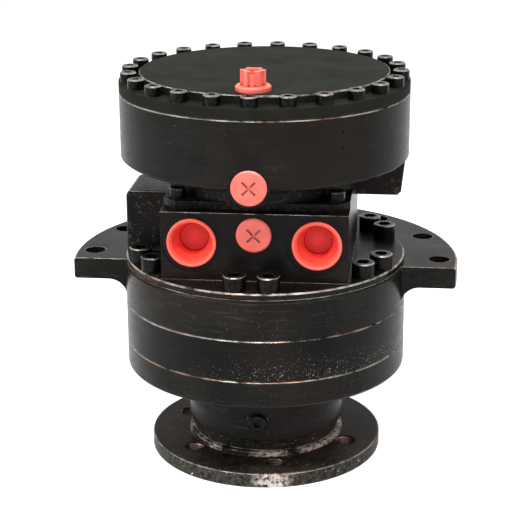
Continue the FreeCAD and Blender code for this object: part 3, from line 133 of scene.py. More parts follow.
def rubbed_corners_and_highlights(tree, place, width_mm, patch_mm, kept, bare, heights=()):
    """Share of bare metal on corners, partly wear and partly a painted highlight, with bevels that look up
    painted bright over their whole width: none where the patch noise is under kept.

    Heights are (middle, reach) in millimetres up the motor; with none given, every height counts.
    """
    eased = add(tree, "ShaderNodeBevel", {"Radius": width_mm * MM}, samples=6)
    plain = add(tree, "ShaderNodeNewGeometry", out="Normal")
    lean = add(tree, "ShaderNodeVectorMath", {0: eased, 1: plain}, out="Value", operation="DOT_PRODUCT")
    corner = add(tree, "ShaderNodeMapRange", {"Value": lean, "From Min": 0.985, "From Max": 0.90})
    # Painted highlight: a bevel between a wall and a top face turns bright metal over its whole width
    tilt = add(tree, "ShaderNodeSeparateXYZ", {0: plain}, out="Z")
    bevel = add(tree, "ShaderNodeMath", {0: tilt, 1: 0.66, 2: 0.24}, operation="COMPARE")
    bevel = add(tree, "ShaderNodeMath", {0: bevel, 1: 0.6}, operation="MULTIPLY")
    corner = add(tree, "ShaderNodeMath", {0: corner, 1: bevel}, operation="MAXIMUM")
    # Corners that look up get the full share, and the others about an eighth of it
    up = add(tree, "ShaderNodeSeparateXYZ", {0: eased}, out="Z")
    reach = add(tree, "ShaderNodeMapRange", {"Value": up, "From Min": 0.05, "From Max": 0.35, "To Min": 0.12})
    cloud = add(tree, "ShaderNodeTexNoise",
                {"Vector": place, "Scale": 1 / (patch_mm * MM), "Detail": 5.0, "Roughness": 0.65})
    patch = add(tree, "ShaderNodeMapRange", {"Value": cloud, "From Min": kept, "From Max": bare})
    rubbed = add(tree, "ShaderNodeMath", {0: corner, 1: patch}, operation="MULTIPLY")
    rubbed = add(tree, "ShaderNodeMath", {0: rubbed, 1: reach}, operation="MULTIPLY")
    if not heights:
        return rubbed
    height = add(tree, "ShaderNodeSeparateXYZ", {0: place}, out="Z")
    within = 0.0
    for middle, half in heights:
        near = add(tree, "ShaderNodeMath", {0: height, 1: middle * MM, 2: half * MM}, operation="COMPARE")
        within = add(tree, "ShaderNodeMath", {0: near, 1: within}, operation="MAXIMUM")
    return add(tree, "ShaderNodeMath", {0: rubbed, 1: within}, operation="MULTIPLY")


def dust_specks(tree, place, speck_mm, area_mm, amount):
    """Share of pale dust: scattered specks that gather in some places and leave others clean."""
    fine = add(tree, "ShaderNodeTexNoise", {"Vector": place, "Scale": 1 / (speck_mm * MM), "Detail": 2.0})
    speck = add(tree, "ShaderNodeMapRange", {"Value": fine, "From Min": 0.68, "From Max": 0.73})
    wide = add(tree, "ShaderNodeTexNoise", {"Vector": place, "Scale": 1 / (area_mm * MM), "Detail": 2.0})
    area = add(tree, "ShaderNodeMapRange",
               {"Value": wide, "From Min": 0.44, "From Max": 0.62, "To Max": amount})
    return add(tree, "ShaderNodeMath", {0: speck, 1: area}, operation="MULTIPLY")


def black_enamel(name, dark, pale, shine, gloss, dust, painted_sheen_streaks, rubbed, settled=None, cast=None):
    """Black machine enamel on cast iron: glossy over turned faces, with bright metal where corners rubbed
    that is partly a painted highlight, and with painted sheen streaks and a painted warm reflection.
    """
    material, tree, place = new_finish(name)
    cloud = add(tree, "ShaderNodeTexNoise", {"Vector": place, "Scale": 1 / (38 * MM), "Detail": 4.0})
    share = add(tree, "ShaderNodeMapRange", {"Value": cloud, "From Min": 0.35, "From Max": 0.65})
    colour = add(tree, "ShaderNodeMix", {0: share, 6: linear(dark), 7: linear(pale)}, out=2, data_type="RGBA")
    # Painted reflection: broad red-brown patches give the warm cast that the surroundings throw on the enamel
    warm_reflection_cloud = add(tree, "ShaderNodeTexNoise", {"Vector": place, "Scale": 1 / (85 * MM), "Detail": 2.0})
    share = add(tree, "ShaderNodeMapRange",
                {"Value": warm_reflection_cloud, "From Min": 0.50, "From Max": 0.66, "To Max": 0.4})
    colour = add(tree, "ShaderNodeMix", {0: share, 6: colour, 7: linear("#261b18")}, out=2, data_type="RGBA")
    # Tool lines under the enamel, 1.1 mm apart, drawn coarser than the real ones so that they show
    flat = add(tree, "ShaderNodeMapping", {"Vector": place, "Scale": (0.05, 0.05, 1.0)})
    lines = add(tree, "ShaderNodeTexNoise", {"Vector": flat, "Scale": 1 / (1.1 * MM), "Detail": 3.0})
    # Painted sheen: pale grey streaks run round the turned faces, where their tool lines would catch the
    # light
    broad = add(tree, "ShaderNodeMapping", {"Vector": place, "Scale": (0.09, 0.09, 1.0)})
    sheen_streak_noise = add(tree, "ShaderNodeTexNoise",
                {"Vector": broad, "Scale": 1 / (2.4 * MM), "Detail": 4.0, "Roughness": 0.7})
    share = add(tree, "ShaderNodeMapRange",
                {"Value": sheen_streak_noise, "From Min": 0.56, "From Max": 0.70, "To Max": painted_sheen_streaks})
    colour = add(tree, "ShaderNodeMix", {0: share, 6: colour, 7: linear("#4d4a44")}, out=2, data_type="RGBA")
    peel = add(tree, "ShaderNodeTexNoise",
               {"Vector": place, "Scale": 1 / (2.6 * MM), "Detail": 5.0, "Roughness": 0.6})
    height = add(tree, "ShaderNodeMath", {0: peel, 1: lines}, operation="ADD")
    rough = add(tree, "ShaderNodeMapRange",
                {"Value": height, "From Min": 0.7, "From Max": 1.3, "To Min": gloss, "To Max": gloss + 0.16})
    specks = dust_specks(tree, place, 1.2, 22, dust)
    if settled:
        # Grit blown on from the right lies along the lower seam
        up = add(tree, "ShaderNodeSeparateXYZ", {0: place}, out="Z")
        across = add(tree, "ShaderNodeSeparateXYZ", {0: place}, out="X")
        near = add(tree, "ShaderNodeMapRange",
                   {"Value": up, "From Min": settled[0] * MM, "From Max": settled[1] * MM})
        blown = add(tree, "ShaderNodeMapRange", {"Value": across, "From Min": -50 * MM, "From Max": 10 * MM})
        grains = add(tree, "ShaderNodeTexNoise", {"Vector": place, "Scale": 1 / (1.3 * MM), "Detail": 3.0})
        grain = add(tree, "ShaderNodeMapRange", {"Value": grains, "From Min": 0.62, "From Max": 0.68})
        band = add(tree, "ShaderNodeMath", {0: near, 1: blown}, operation="MULTIPLY")
        heap = add(tree, "ShaderNodeMath", {0: band, 1: grain}, operation="MULTIPLY")
        specks = add(tree, "ShaderNodeMath", {0: specks, 1: heap}, operation="MAXIMUM")
    colour = add(tree, "ShaderNodeMix", {0: specks, 6: colour, 7: linear("#8f8d85")}, out=2, data_type="RGBA")
    if cast:
        # Sand skin: grains of about 3 mm that dull the enamel, with pale specks on their raised tops, partly
        # dust and partly a painted glint
        along = add(tree, "ShaderNodeSeparateXYZ", {0: place}, out=cast[0])
        rind = add(tree, "ShaderNodeMapRange",
                   {"Value": along, "From Min": cast[1] * MM, "From Max": cast[2] * MM})
        sand = add(tree, "ShaderNodeTexNoise",
                   {"Vector": place, "Scale": 1 / (3.4 * MM), "Detail": 6.0, "Roughness": 0.72})
        grit = add(tree, "ShaderNodeMapRange",
                   {"Value": sand, "From Min": 0.54, "From Max": 0.66, "To Max": 0.8})
        grain_dust_and_glint = add(tree, "ShaderNodeMath", {0: grit, 1: rind}, operation="MULTIPLY")
        colour = add(tree, "ShaderNodeMix", {0: grain_dust_and_glint, 6: colour, 7: linear("#4b4843")}, out=2,
                     data_type="RGBA")
        lumps = add(tree, "ShaderNodeMath", {0: sand, 1: rind}, operation="MULTIPLY")
        height = add(tree, "ShaderNodeMath", {0: lumps, 1: 9.0, 2: height}, operation="MULTIPLY_ADD")
    # Bright bare metal on the corners: partly wear, partly a painted highlight
    wear_and_highlight = rubbed_corners_and_highlights(tree, place, 0.8, 14, 0.35, 0.58, rubbed)
    stain = add(tree, "ShaderNodeTexNoise", {"Vector": place, "Scale": 1 / (30 * MM), "Detail": 3.0})
    share = add(tree, "ShaderNodeMapRange",
                {"Value": stain, "From Min": 0.50, "From Max": 0.62, "To Max": 0.8})
    bare = add(tree, "ShaderNodeMix", {0: share, 6: linear("#d2cdc4"), 7: linear("#b98468")}, out=2,
               data_type="RGBA")
    colour = add(tree, "ShaderNodeMix", {0: wear_and_highlight, 6: colour, 7: bare}, out=2, data_type="RGBA")
    metal = add(tree, "ShaderNodeMath", {0: wear_and_highlight, 1: 0.7}, operation="MULTIPLY")
    surface = {"Base Color": colour, "Metallic": metal, "Roughness": rough, "Specular IOR Level": shine}
    close_finish(tree, surface, height, 0.55, 0.12)
    return material


def scuffed_paint_on_forged_flange(name):
    """Thin black paint on forged steel: knocked through all round the rim, with a brown bloom on top."""
    material, tree, place = new_finish(name)
    broad = add(tree, "ShaderNodeTexNoise",
                {"Vector": place, "Scale": 1 / (34 * MM), "Detail": 5.0, "Roughness": 0.6})
    fine = add(tree, "ShaderNodeTexNoise",
               {"Vector": place, "Scale": 1 / (3.2 * MM), "Detail": 5.0, "Roughness": 0.7})
    share = add(tree, "ShaderNodeMapRange", {"Value": broad, "From Min": 0.4, "From Max": 0.62})
    colour = add(tree, "ShaderNodeMix", {0: share, 6: linear("#14100f"), 7: linear("#2b211b")}, out=2,
                 data_type="RGBA")
    bloom = add(tree, "ShaderNodeMapRange",
                {"Value": fine, "From Min": 0.50, "From Max": 0.68, "To Max": 0.6})
    colour = add(tree, "ShaderNodeMix", {0: bloom, 6: colour, 7: linear("#4a4a42")}, out=2, data_type="RGBA")
    # The rim is mottled grey, knocked and scraped
    flat = add(tree, "ShaderNodeVectorMath", {0: place, 1: (1.0, 1.0, 0.0)}, operation="MULTIPLY")
    radius = add(tree, "ShaderNodeVectorMath", {0: flat}, out="Value", operation="LENGTH")
    rim = add(tree, "ShaderNodeMapRange", {"Value": radius, "From Min": 93.5 * MM, "From Max": 95.5 * MM})
    mottle = add(tree, "ShaderNodeMapRange", {"Value": fine, "From Min": 0.40, "From Max": 0.68})
    scraped = add(tree, "ShaderNodeMix", {0: mottle, 6: linear("#1b1b17"), 7: linear("#55534c")}, out=2,
                  data_type="RGBA")
    share = add(tree, "ShaderNodeMath", {0: rim, 1: 0.85}, operation="MULTIPLY")
    colour = add(tree, "ShaderNodeMix", {0: share, 6: colour, 7: scraped}, out=2, data_type="RGBA")
    chips = dust_specks(tree, place, 4.5, 26, 1.0)
    chips = add(tree, "ShaderNodeMath", {0: chips, 1: rim}, operation="MULTIPLY")
    dust = dust_specks(tree, place, 1.8, 30, 0.6)
    # Bright bare metal on hub and rim corners: partly wear, partly a painted highlight
    wear_and_highlight = rubbed_corners_and_highlights(tree, place, 1.8, 18, 0.38, 0.56, HUB_EDGES + RIM_EDGES)
    # The rims of the wheel holes keep their paint
    height = add(tree, "ShaderNodeSeparateXYZ", {0: place}, out="Z")
    hub = add(tree, "ShaderNodeMath", {0: height, 1: DISC_TOP * MM}, operation="GREATER_THAN")
    open_place = add(tree, "ShaderNodeMath", {0: hub, 1: rim}, operation="MAXIMUM")
    wear_and_highlight = add(tree, "ShaderNodeMath", {0: wear_and_highlight, 1: open_place}, operation="MULTIPLY")
    # The hub ring is bright over its whole width in places: partly rubbed bare by a sling, partly a painted
    # highlight on its rounded top
    ring = add(tree, "ShaderNodeMath", {0: height, 1: HUB_EDGES[0][0] * MM, 2: 2.0 * MM}, operation="COMPARE")
    streak = add(tree, "ShaderNodeMapRange", {"Value": broad, "From Min": 0.47, "From Max": 0.58})
    grain = add(tree, "ShaderNodeMapRange", {"Value": fine, "From Min": 0.40, "From Max": 0.56})
    ring = add(tree, "ShaderNodeMath", {0: ring, 1: streak}, operation="MULTIPLY")
    ring = add(tree, "ShaderNodeMath", {0: ring, 1: grain}, operation="MULTIPLY")
    # The front of the rim has been dragged along the ground
    away = add(tree, "ShaderNodeVectorMath", {0: place, 1: KNOCKED_RIM}, out="Value", operation="DISTANCE")
    knock = add(tree, "ShaderNodeMapRange", {"Value": away, "From Min": 19 * MM, "From Max": 8 * MM})
    knock = add(tree, "ShaderNodeMath", {0: knock, 1: grain}, operation="MULTIPLY")
    knock = add(tree, "ShaderNodeMath", {0: knock, 1: rim}, operation="MULTIPLY")
    wear_and_highlight = add(tree, "ShaderNodeMath", {0: wear_and_highlight, 1: ring}, operation="MAXIMUM")
    wear_and_highlight = add(tree, "ShaderNodeMath", {0: wear_and_highlight, 1: knock}, operation="MAXIMUM")
    bare = add(tree, "ShaderNodeMath", {0: chips, 1: wear_and_highlight}, operation="MAXIMUM")
    pale = add(tree, "ShaderNodeMath", {0: bare, 1: dust}, operation="MAXIMUM")
    stain = add(tree, "ShaderNodeMapRange",
                {"Value": broad, "From Min": 0.46, "From Max": 0.6, "To Max": 0.6})
    metal_colour = add(tree, "ShaderNodeMix", {0: stain, 6: linear("#cfccc6"), 7: linear("#bd9a8a")}, out=2,
                       data_type="RGBA")
    colour = add(tree, "ShaderNodeMix", {0: pale, 6: colour, 7: metal_colour}, out=2, data_type="RGBA")
    metal = add(tree, "ShaderNodeMath", {0: bare, 1: 0.6}, operation="MULTIPLY")
    rough = add(tree, "ShaderNodeMapRange",
                {"Value": fine, "From Min": 0.3, "From Max": 0.7, "To Min": 0.32, "To Max": 0.58})
    surface = {"Base Color": colour, "Metallic": metal, "Roughness": rough, "Specular IOR Level": 0.06}
    close_finish(tree, surface, fine, 0.6, 0.45)
    return material


def black_oxide_on_screws(name):
    """Alloy steel screws blackened in a hot bath: oily black, with bright metal on the rubbed rim of the head
    that is partly a painted highlight.
    """
    material, tree, place = new_finish(name)
    fine = add(tree, "ShaderNodeTexNoise",
               {"Vector": place, "Scale": 1 / (3 * MM), "Detail": 4.0, "Roughness": 0.6})
    share = add(tree, "ShaderNodeMapRange", {"Value": fine, "From Min": 0.35, "From Max": 0.7})
    colour = add(tree, "ShaderNodeMix", {0: share, 6: linear("#0e0d0d"), 7: linear("#211f1e")}, out=2,
                 data_type="RGBA")
    # Bright crescents on the head rims: partly rubbed metal, partly a painted highlight
    wear_and_highlight = rubbed_corners_and_highlights(tree, place, 0.7, 6, 0.32, 0.54, SCREW_HEADS)
    colour = add(tree, "ShaderNodeMix", {0: wear_and_highlight, 6: colour, 7: linear("#c2bdb5")}, out=2, data_type="RGBA")
    metal = add(tree, "ShaderNodeMapRange", {"Value": wear_and_highlight, "To Min": 0.75, "To Max": 1.0})
    rough = add(tree, "ShaderNodeMapRange",
                {"Value": fine, "From Min": 0.3, "From Max": 0.7, "To Min": 0.22, "To Max": 0.38})
    surface = {"Base Color": colour, "Metallic": metal, "Roughness": rough, "Specular IOR Level": 0.1}
    close_finish(tree, surface, fine, 0.4, 0.12)
    return material


def turned_steel(name, bright, oily, rough_low, rough_high):
    """Bare steel from the lathe or grinder: bright, with fine lines round the axis and an oily film."""
    material, tree, place = new_finish(name)
    # Tool lines 0.6 mm apart, coarser than the real ones so that they show
    flat = add(tree, "ShaderNodeMapping", {"Vector": place, "Scale": (0.12, 0.12, 1.0)})
    lines = add(tree, "ShaderNodeTexNoise", {"Vector": flat, "Scale": 1 / (0.6 * MM), "Detail": 2.0})
    film = add(tree, "ShaderNodeTexNoise", {"Vector": place, "Scale": 1 / (18 * MM), "Detail": 3.0})
    share = add(tree, "ShaderNodeMapRange", {"Value": film, "From Min": 0.4, "From Max": 0.65})
    colour = add(tree, "ShaderNodeMix", {0: share, 6: linear(bright), 7: linear(oily)}, out=2,
                 data_type="RGBA")
    rough = add(tree, "ShaderNodeMapRange",
                {"Value": lines, "From Min": 0.3, "From Max": 0.7, "To Min": rough_low, "To Max": rough_high})
    close_finish(tree, {"Base Color": colour, "Metallic": 1.0, "Roughness": rough}, lines, 0.25, 0.04)
    return material


def porous_metal(name, face, pore, pore_mm, metallic, roughness):
    """Grey iron or sintered bronze, machined: matt, with dark flecks where the surface is open."""
    material, tree, place = new_finish(name)
    fleck = add(tree, "ShaderNodeTexNoise",
                {"Vector": place, "Scale": 1 / (pore_mm * MM), "Detail": 3.0, "Roughness": 0.7})
    share = add(tree, "ShaderNodeMapRange", {"Value": fleck, "From Min": 0.44, "From Max": 0.64})
    colour = add(tree, "ShaderNodeMix", {0: share, 6: linear(face), 7: linear(pore)}, out=2, data_type="RGBA")
    close_finish(tree, {"Base Color": colour, "Metallic": metallic, "Roughness": roughness}, fleck, 0.4, 0.06)
    return material


def moulded_nitrile(name):
    """Nitrile rubber seals: matt black with a faint grey bloom."""
    material, tree, place = new_finish(name)
    bloom = add(tree, "ShaderNodeTexNoise", {"Vector": place, "Scale": 1 / (4 * MM), "Detail": 3.0})
    share = add(tree, "ShaderNodeMapRange", {"Value": bloom, "From Min": 0.4, "From Max": 0.7})
    colour = add(tree, "ShaderNodeMix", {0: share, 6: linear("#151515"), 7: linear("#26262a")}, out=2,
                 data_type="RGBA")
    close_finish(tree, {"Base Color": colour, "Roughness": 0.72}, bloom, 0.2, 0.05)
    return material


def moulded_cup_polyethylene(name, port):
    """Soft red polyethylene cup: waxy, light passes into it, and the mould left pale rings in its wall."""
    material, tree, place = new_finish(name)
    centred = add(tree, "ShaderNodeMapping", {"Vector": place, "Location": (-port[0], 0.0, -port[2])})
    flat = add(tree, "ShaderNodeVectorMath", {0: centred, 1: (1.0, 0.0, 1.0)}, operation="MULTIPLY")
    radius = add(tree, "ShaderNodeVectorMath", {0: flat}, out="Value", operation="LENGTH")
    inward = add(tree, "ShaderNodeSeparateXYZ", {0: place}, out="Y")
    # Pale at the lip, clear red down the wall, deep red on the floor 16 mm in, with a painted highlight
    # making it paler at its centre
    share = add(tree, "ShaderNodeMapRange",
                {"Value": inward, "From Min": port[1] - 2 * MM, "From Max": port[1] + 3 * MM})
    colour = add(tree, "ShaderNodeMix", {0: share, 6: linear("#fb6450"), 7: linear("#ee3d32")}, out=2,
                 data_type="RGBA")
    # Mould rings 2.6 mm apart, as thin pale lines
    turns = add(tree, "ShaderNodeMath", {0: inward, 1: math.tau / (2.6 * MM)}, operation="MULTIPLY")
    rings = add(tree, "ShaderNodeMath", {0: turns}, operation="SINE")
    line = add(tree, "ShaderNodeMapRange", {"Value": rings, "From Min": 0.72, "From Max": 1.0, "To Max": 0.6})
    colour = add(tree, "ShaderNodeMix", {0: line, 6: colour, 7: linear("#ff9c90")}, out=2, data_type="RGBA")
    share = add(tree, "ShaderNodeMapRange",
                {"Value": inward, "From Min": port[1] + 13.5 * MM, "From Max": port[1] + 15 * MM})
    floor_centre_highlight = add(tree, "ShaderNodeMapRange", {"Value": radius, "From Min": 2 * MM, "From Max": 8 * MM})
    floor = add(tree, "ShaderNodeMix", {0: floor_centre_highlight, 6: linear("#ea3a34"), 7: linear("#d0100f")}, out=2,
                data_type="RGBA")
    colour = add(tree, "ShaderNodeMix", {0: share, 6: colour, 7: floor}, out=2, data_type="RGBA")
    grime = add(tree, "ShaderNodeTexNoise",
                {"Vector": place, "Scale": 1 / (6 * MM), "Detail": 4.0, "Roughness": 0.6})
    share = add(tree, "ShaderNodeMapRange",
                {"Value": grime, "From Min": 0.58, "From Max": 0.78, "To Max": 0.3})
    colour = add(tree, "ShaderNodeMix", {0: share, 6: colour, 7: linear("#bc3430")}, out=2, data_type="RGBA")
    surface = {"Base Color": colour, "Roughness": 0.24, "Specular IOR Level": 0.2,
               "Subsurface Weight": 0.12, "Subsurface Radius": (0.004, 0.0012, 0.001),
               "Subsurface Scale": 0.6}
    close_finish(tree, surface, rings, 0.35, 0.1)
    return material


def moulded_coral_polyethylene(name):
    """Hard coral-red polyethylene plugs: smooth and dusty, with grime rubbed into the scratches."""
    material, tree, place = new_finish(name)
    cloud = add(tree, "ShaderNodeTexNoise",
                {"Vector": place, "Scale": 1 / (9 * MM), "Detail": 4.0, "Roughness": 0.6})
    share = add(tree, "ShaderNodeMapRange", {"Value": cloud, "From Min": 0.38, "From Max": 0.66})
    colour = add(tree, "ShaderNodeMix", {0: share, 6: linear("#ee7062"), 7: linear("#e66155")}, out=2,
                 data_type="RGBA")
    marks = add(tree, "ShaderNodeTexNoise",
                {"Vector": place, "Scale": 1 / (2.2 * MM), "Detail": 4.0, "Roughness": 0.7})
    share = add(tree, "ShaderNodeMapRange",
                {"Value": marks, "From Min": 0.62, "From Max": 0.74, "To Max": 0.45})
    colour = add(tree, "ShaderNodeMix", {0: share, 6: colour, 7: linear("#b2443f")}, out=2, data_type="RGBA")
    # Painted shade: the slots and notches are darkened where they are closed in
    slot_shade = add(tree, "ShaderNodeAmbientOcclusion", {"Distance": 2.5 * MM}, out="AO", samples=8)
    share = add(tree, "ShaderNodeMapRange",
                {"Value": slot_shade, "From Min": 0.75, "From Max": 0.45, "To Max": 0.85})
    colour = add(tree, "ShaderNodeMix", {0: share, 6: colour, 7: linear("#6f1f1c")}, out=2, data_type="RGBA")
    # Paler corners and bevels: partly rubbed, partly a painted highlight
    pale = rubbed_corners_and_highlights(tree, place, 0.5, 8, 0.36, 0.60)
    pale = add(tree, "ShaderNodeMath", {0: pale, 1: 0.4}, operation="MULTIPLY")
    colour = add(tree, "ShaderNodeMix", {0: pale, 6: colour, 7: linear("#ffab9f")}, out=2, data_type="RGBA")
    surface = {"Base Color": colour, "Roughness": 0.42, "Subsurface Weight": 0.1,
               "Subsurface Radius": (0.003, 0.001, 0.0008), "Subsurface Scale": 0.5}
    close_finish(tree, surface, cloud, 0.2, 0.1)
    return material


THREAD_STEEL = turned_steel("cut_thread_in_forged_steel", "#7d6a61", "#3a2f2a", 0.32, 0.5)
CASE_ENAMEL = black_enamel("black_enamel_on_turned_case", "#0d0d0c", "#191916", shine=0.07, gloss=0.22,
                           dust=0.5, painted_sheen_streaks=0.28, rubbed=CASE_SEAMS + NECK_EDGES)
NODE_FINISHES = {
    "front_case": CASE_ENAMEL,
    "flange_case": CASE_ENAMEL,
    "cam_ring": black_enamel("black_enamel_on_cam_ring", "#0a0a0a", "#141413", shine=0.07, gloss=0.22,
                             dust=0.4, painted_sheen_streaks=0.1, rubbed=CASE_SEAMS, settled=RING_DUST),
    "valve_cover": black_enamel("black_enamel_on_cast_valve_block", "#0d0b0b", "#191514", shine=0.07,
                                gloss=0.22, dust=0.4, painted_sheen_streaks=0.08, rubbed=BLOCK_EDGES, cast=BOSS_SKIN),
    "brake_housing": black_enamel("black_enamel_on_brake_drum", "#0e0d0c", "#191815", shine=0.07,
                                  gloss=0.22, dust=0.3, painted_sheen_streaks=0.08, rubbed=DRUM_EDGES, cast=DRUM_FOOT_SKIN),
    "brake_cover": black_enamel("black_enamel_on_brake_cover", "#181b16", "#22251f", shine=0.015,
                                gloss=0.5, dust=0.1, painted_sheen_streaks=0.05, rubbed=LID_EDGES),
    "drive_shaft": scuffed_paint_on_forged_flange("scuffed_black_paint_on_forged_flange"),
    "port_plug_left": moulded_cup_polyethylene("moulded_cup_polyethylene_left", PORT_LEFT),
    "port_plug_right": moulded_cup_polyethylene("moulded_cup_polyethylene_right", PORT_RIGHT),
}
SLOT_FINISHES = {
    "black_screw_steel": black_oxide_on_screws("black_oxide_on_socket_screws"),
    "ground_steel": turned_steel("ground_alloy_steel", "#b9b8b4", "#6d6b66", 0.22, 0.38),
    "bearing_steel": turned_steel("polished_bearing_steel", "#cfcdc8", "#8d8a83", 0.10, 0.20),
    "pressed_steel": turned_steel("pressed_cage_steel", "#a39b8c", "#6a6357", 0.34, 0.50),
    "spring_steel": turned_steel("oil_hardened_spring_steel", "#6a6a6a", "#3c3b39", 0.30, 0.45),
    "grey_iron": porous_metal("machined_grey_iron", "#7b7b7a", "#4d4e4e", 0.8, 0.8, 0.50),
    "sintered_bronze": porous_metal("sintered_bronze_facing", "#a07a45", "#5e4529", 0.7, 0.6, 0.62),
    "seal_rubber": moulded_nitrile("moulded_nitrile_rubber"),
    "coral_plug_plastic": moulded_coral_polyethylene("moulded_coral_polyethylene"),
}
for entry in frame["record"]["subparts"]:
    node = bpy.data.objects[entry["node"]]
    finish = NODE_FINISHES.get(entry["node"]) or SLOT_FINISHES[entry["material_slot"]]
    if not node.material_slots:
        node.data.materials.append(finish)
    for slot in node.material_slots:
        slot.material = finish


def new_piece(name, shape, body, finish):
    """Turn a finished bmesh into a smooth-shaded piece that rides on a body."""
    mesh = bpy.data.meshes.new(name)
    shape.to_mesh(mesh)
    shape.free()
    mesh.shade_smooth()
    mesh.materials.append(finish)
    piece = bpy.data.objects.new(name, mesh)
    bpy.context.scene.collection.objects.link(piece)
    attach(piece, body)
    return piece


def flange_thread(number):
    """Thread of one wheel-bolt hole: the outline of a tooth spun round the hole as it climbs."""
    phi = WHEEL_PHI + math.tau * number / WHEEL_HOLES
    centre = Vector((WHEEL_PCD_R * math.sin(phi), -WHEEL_PCD_R * math.cos(phi), 0.0))
    crest = WHEEL_HOLE_R - THREAD_DEPTH
    root = WHEEL_HOLE_R - THREAD_ROOT_GAP
    turns = int((FLANGE_T - 2 * THREAD_START) / THREAD_PITCH)
    shape = bmesh.new()
    corners = [shape.verts.new(centre + Vector((r, 0.0, THREAD_START + share * THREAD_PITCH)))
               for r, share in ((root, 0.0), (crest, 0.45), (crest, 0.55), (root, 1.0))]
    edges = [shape.edges.new(pair) for pair in zip(corners, corners[1:])]
    bmesh.ops.spin(shape, geom=corners + edges, cent=centre, axis=(0, 0, 1),
                   dvec=(0, 0, THREAD_PITCH / THREAD_STEPS_PER_TURN), angle=math.tau * turns,
                   steps=THREAD_STEPS_PER_TURN * turns, use_duplicate=False)
    bmesh.ops.remove_doubles(shape, verts=shape.verts, dist=0.001 * MM)
    bmesh.ops.recalc_face_normals(shape, faces=shape.faces)
    # An open strip: turned so that its faces look at the hole's axis
    shape.faces.ensure_lookup_table()
    face = shape.faces[0]
    inward = centre - face.calc_center_median()
    inward.z = 0.0
    if face.normal.dot(inward) < 0:
        bmesh.ops.reverse_faces(shape, faces=shape.faces)
    return new_piece("flange_thread_%d" % (number + 1), shape, "rotor", THREAD_STEEL)


for number in range(WHEEL_HOLES):
    flange_thread(number)

# Each spring with its joint, the axis it shortens along, its fixed end and its fitted length in millimetres
PRESSED_SPRINGS = {
    "brake_spring": ("brake_release", (0, 0, 1), (0, 0, 302), 8.0),
    "spool_spring": ("speed_shift", (0, 1, 0), (-90, -15, 198), 13.0),
}


def pressed_spring(node_name, joint, axis, fixed_end, length):
    """Copy of a spring, shown on the housing in place of the spring it copies."""
    shape = bmesh.new()
    shape.from_mesh(bpy.data.objects[node_name].data)
    bmesh.ops.remove_doubles(shape, verts=shape.verts, dist=0.001 * MM)
    spring = new_piece("pressed_" + node_name, shape, "housing",
                       SLOT_FINISHES["spring_steel"])
    spring.data.set_sharp_from_angle(angle=math.radians(30))
    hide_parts(node_name)
    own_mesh(spring)


for node_name, fit in PRESSED_SPRINGS.items():
    pressed_spring(node_name, *fit)

# Camera: solved from the round edges in the photograph
CAMERA_AZIMUTH = math.radians(6.0)
CAMERA_DISTANCE = 1.2317
CAMERA_HEIGHT = 0.56566
CAMERA_PITCH = math.radians(18.204)
CAMERA_PAN = math.radians(-0.208)
CAMERA_ROLL = math.radians(-0.333)
FOCAL_PIXELS = 1569.4
FRAME_PIXELS = 520
SENSOR_MM = 36.0


def place_camera():
    data = bpy.data.cameras.new("camera")
    data.sensor_width = SENSOR_MM
    data.lens = FOCAL_PIXELS * SENSOR_MM / FRAME_PIXELS
    data.clip_start = 0.05
    data.clip_end = 30.0
    camera = bpy.data.objects.new("camera", data)
    bpy.context.scene.collection.objects.link(camera)
    ahead = Vector((math.sin(CAMERA_PAN) * math.cos(CAMERA_PITCH),
                    math.cos(CAMERA_PAN) * math.cos(CAMERA_PITCH),
                    -math.sin(CAMERA_PITCH)))
    right = Vector((math.cos(CAMERA_PAN), -math.sin(CAMERA_PAN), 0.0))
    up = right.cross(ahead)
    tilted_right = right * math.cos(CAMERA_ROLL) + up * math.sin(CAMERA_ROLL)
    tilted_up = up * math.cos(CAMERA_ROLL) - right * math.sin(CAMERA_ROLL)
    turn = Matrix((tilted_right, tilted_up, -ahead)).transposed().to_4x4()
    spot = Matrix.Translation((0.0, -CAMERA_DISTANCE, CAMERA_HEIGHT))
    camera.matrix_world = Matrix.Rotation(CAMERA_AZIMUTH, 4, "Z") @ spot @ turn
    bpy.context.scene.camera = camera


def soft_lamp(name, spot, aim, size, power):
    data = bpy.data.lights.new(name, "AREA")
    data.shape = "RECTANGLE"
    data.size, data.size_y = size
    data.energy = power
    lamp = bpy.data.objects.new(name, data)
    lamp.location = spot
    lamp.rotation_euler = (Vector(aim) - Vector(spot)).to_track_quat("-Z", "Y").to_euler()
    bpy.context.scene.collection.objects.link(lamp)


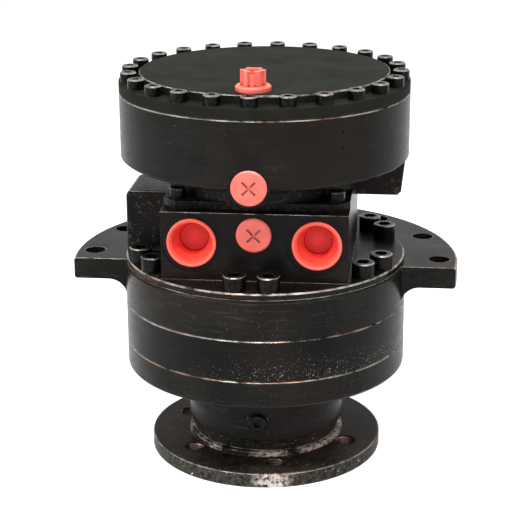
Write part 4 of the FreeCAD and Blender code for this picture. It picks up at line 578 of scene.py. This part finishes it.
def seen_or_mirrored(tree):
    """1 for the camera's rays and those that gloss or glass sends on, 0 for the light on the object."""
    camera = add(tree, "ShaderNodeLightPath", out="Is Camera Ray")
    gloss = add(tree, "ShaderNodeLightPath", out="Is Glossy Ray")
    glass = add(tree, "ShaderNodeLightPath", out="Is Transmission Ray")
    either = add(tree, "ShaderNodeMath", {0: camera, 1: gloss}, operation="MAXIMUM")
    return add(tree, "ShaderNodeMath", {0: either, 1: glass}, operation="MAXIMUM")


def white_surround():
    """White to the camera and in gloss, and a plain soft light on the object."""
    world = bpy.data.worlds.new("white_surround")
    bpy.context.scene.world = world
    world.use_nodes = True
    tree = world.node_tree
    tree.nodes.clear()
    lit = add(tree, "ShaderNodeBackground", {"Color": (1, 1, 1, 1), "Strength": 0.45})
    shown = add(tree, "ShaderNodeBackground", {"Color": (1, 1, 1, 1), "Strength": 1.0})
    mixed = add(tree, "ShaderNodeMixShader", {0: seen_or_mirrored(tree), 1: lit, 2: shown})
    add(tree, "ShaderNodeOutputWorld", {"Surface": mixed})


def white_floor():
    """Pale floor that shows white to the camera and keeps the object's shadow."""
    shape = bmesh.new()
    bmesh.ops.create_grid(shape, x_segments=1, y_segments=1, size=6.0)
    mesh = bpy.data.meshes.new("floor")
    shape.to_mesh(mesh)
    shape.free()
    floor = bpy.data.objects.new("floor", mesh)
    floor.location = (0, 0, -0.2 * MM)
    bpy.context.scene.collection.objects.link(floor)
    material, tree, _ = new_finish("white_paper_floor")
    paper = add(tree, "ShaderNodeBsdfDiffuse", {"Color": (0.8, 0.8, 0.8, 1)})
    glow = add(tree, "ShaderNodeEmission", {"Color": (1, 1, 1, 1), "Strength": 0.65})
    both = add(tree, "ShaderNodeAddShader", {0: paper, 1: glow})
    mixed = add(tree, "ShaderNodeMixShader", {0: seen_or_mirrored(tree), 1: paper, 2: both})
    add(tree, "ShaderNodeOutputMaterial", {"Surface": mixed})
    mesh.materials.append(material)


place_camera()
white_surround()
white_floor()
soft_lamp("strip_above_front", (0.0, -0.80, 1.55), (0, 0, 0.2), (1.6, 0.20), 27.0)
soft_lamp("strip_left", (-1.20, -0.80, 0.60), (0, 0, 0.2), (0.14, 0.8), 10.0)
soft_lamp("fill_right", (1.3, -0.9, 0.8), (0, 0, 0.15), (0.3, 0.9), 3.0)
soft_lamp("back_above", (0.2, 1.1, 1.5), (0, 0, 0.2), (1.2, 0.4), 8.0)
bpy.context.scene.view_settings.view_transform = "Standard"
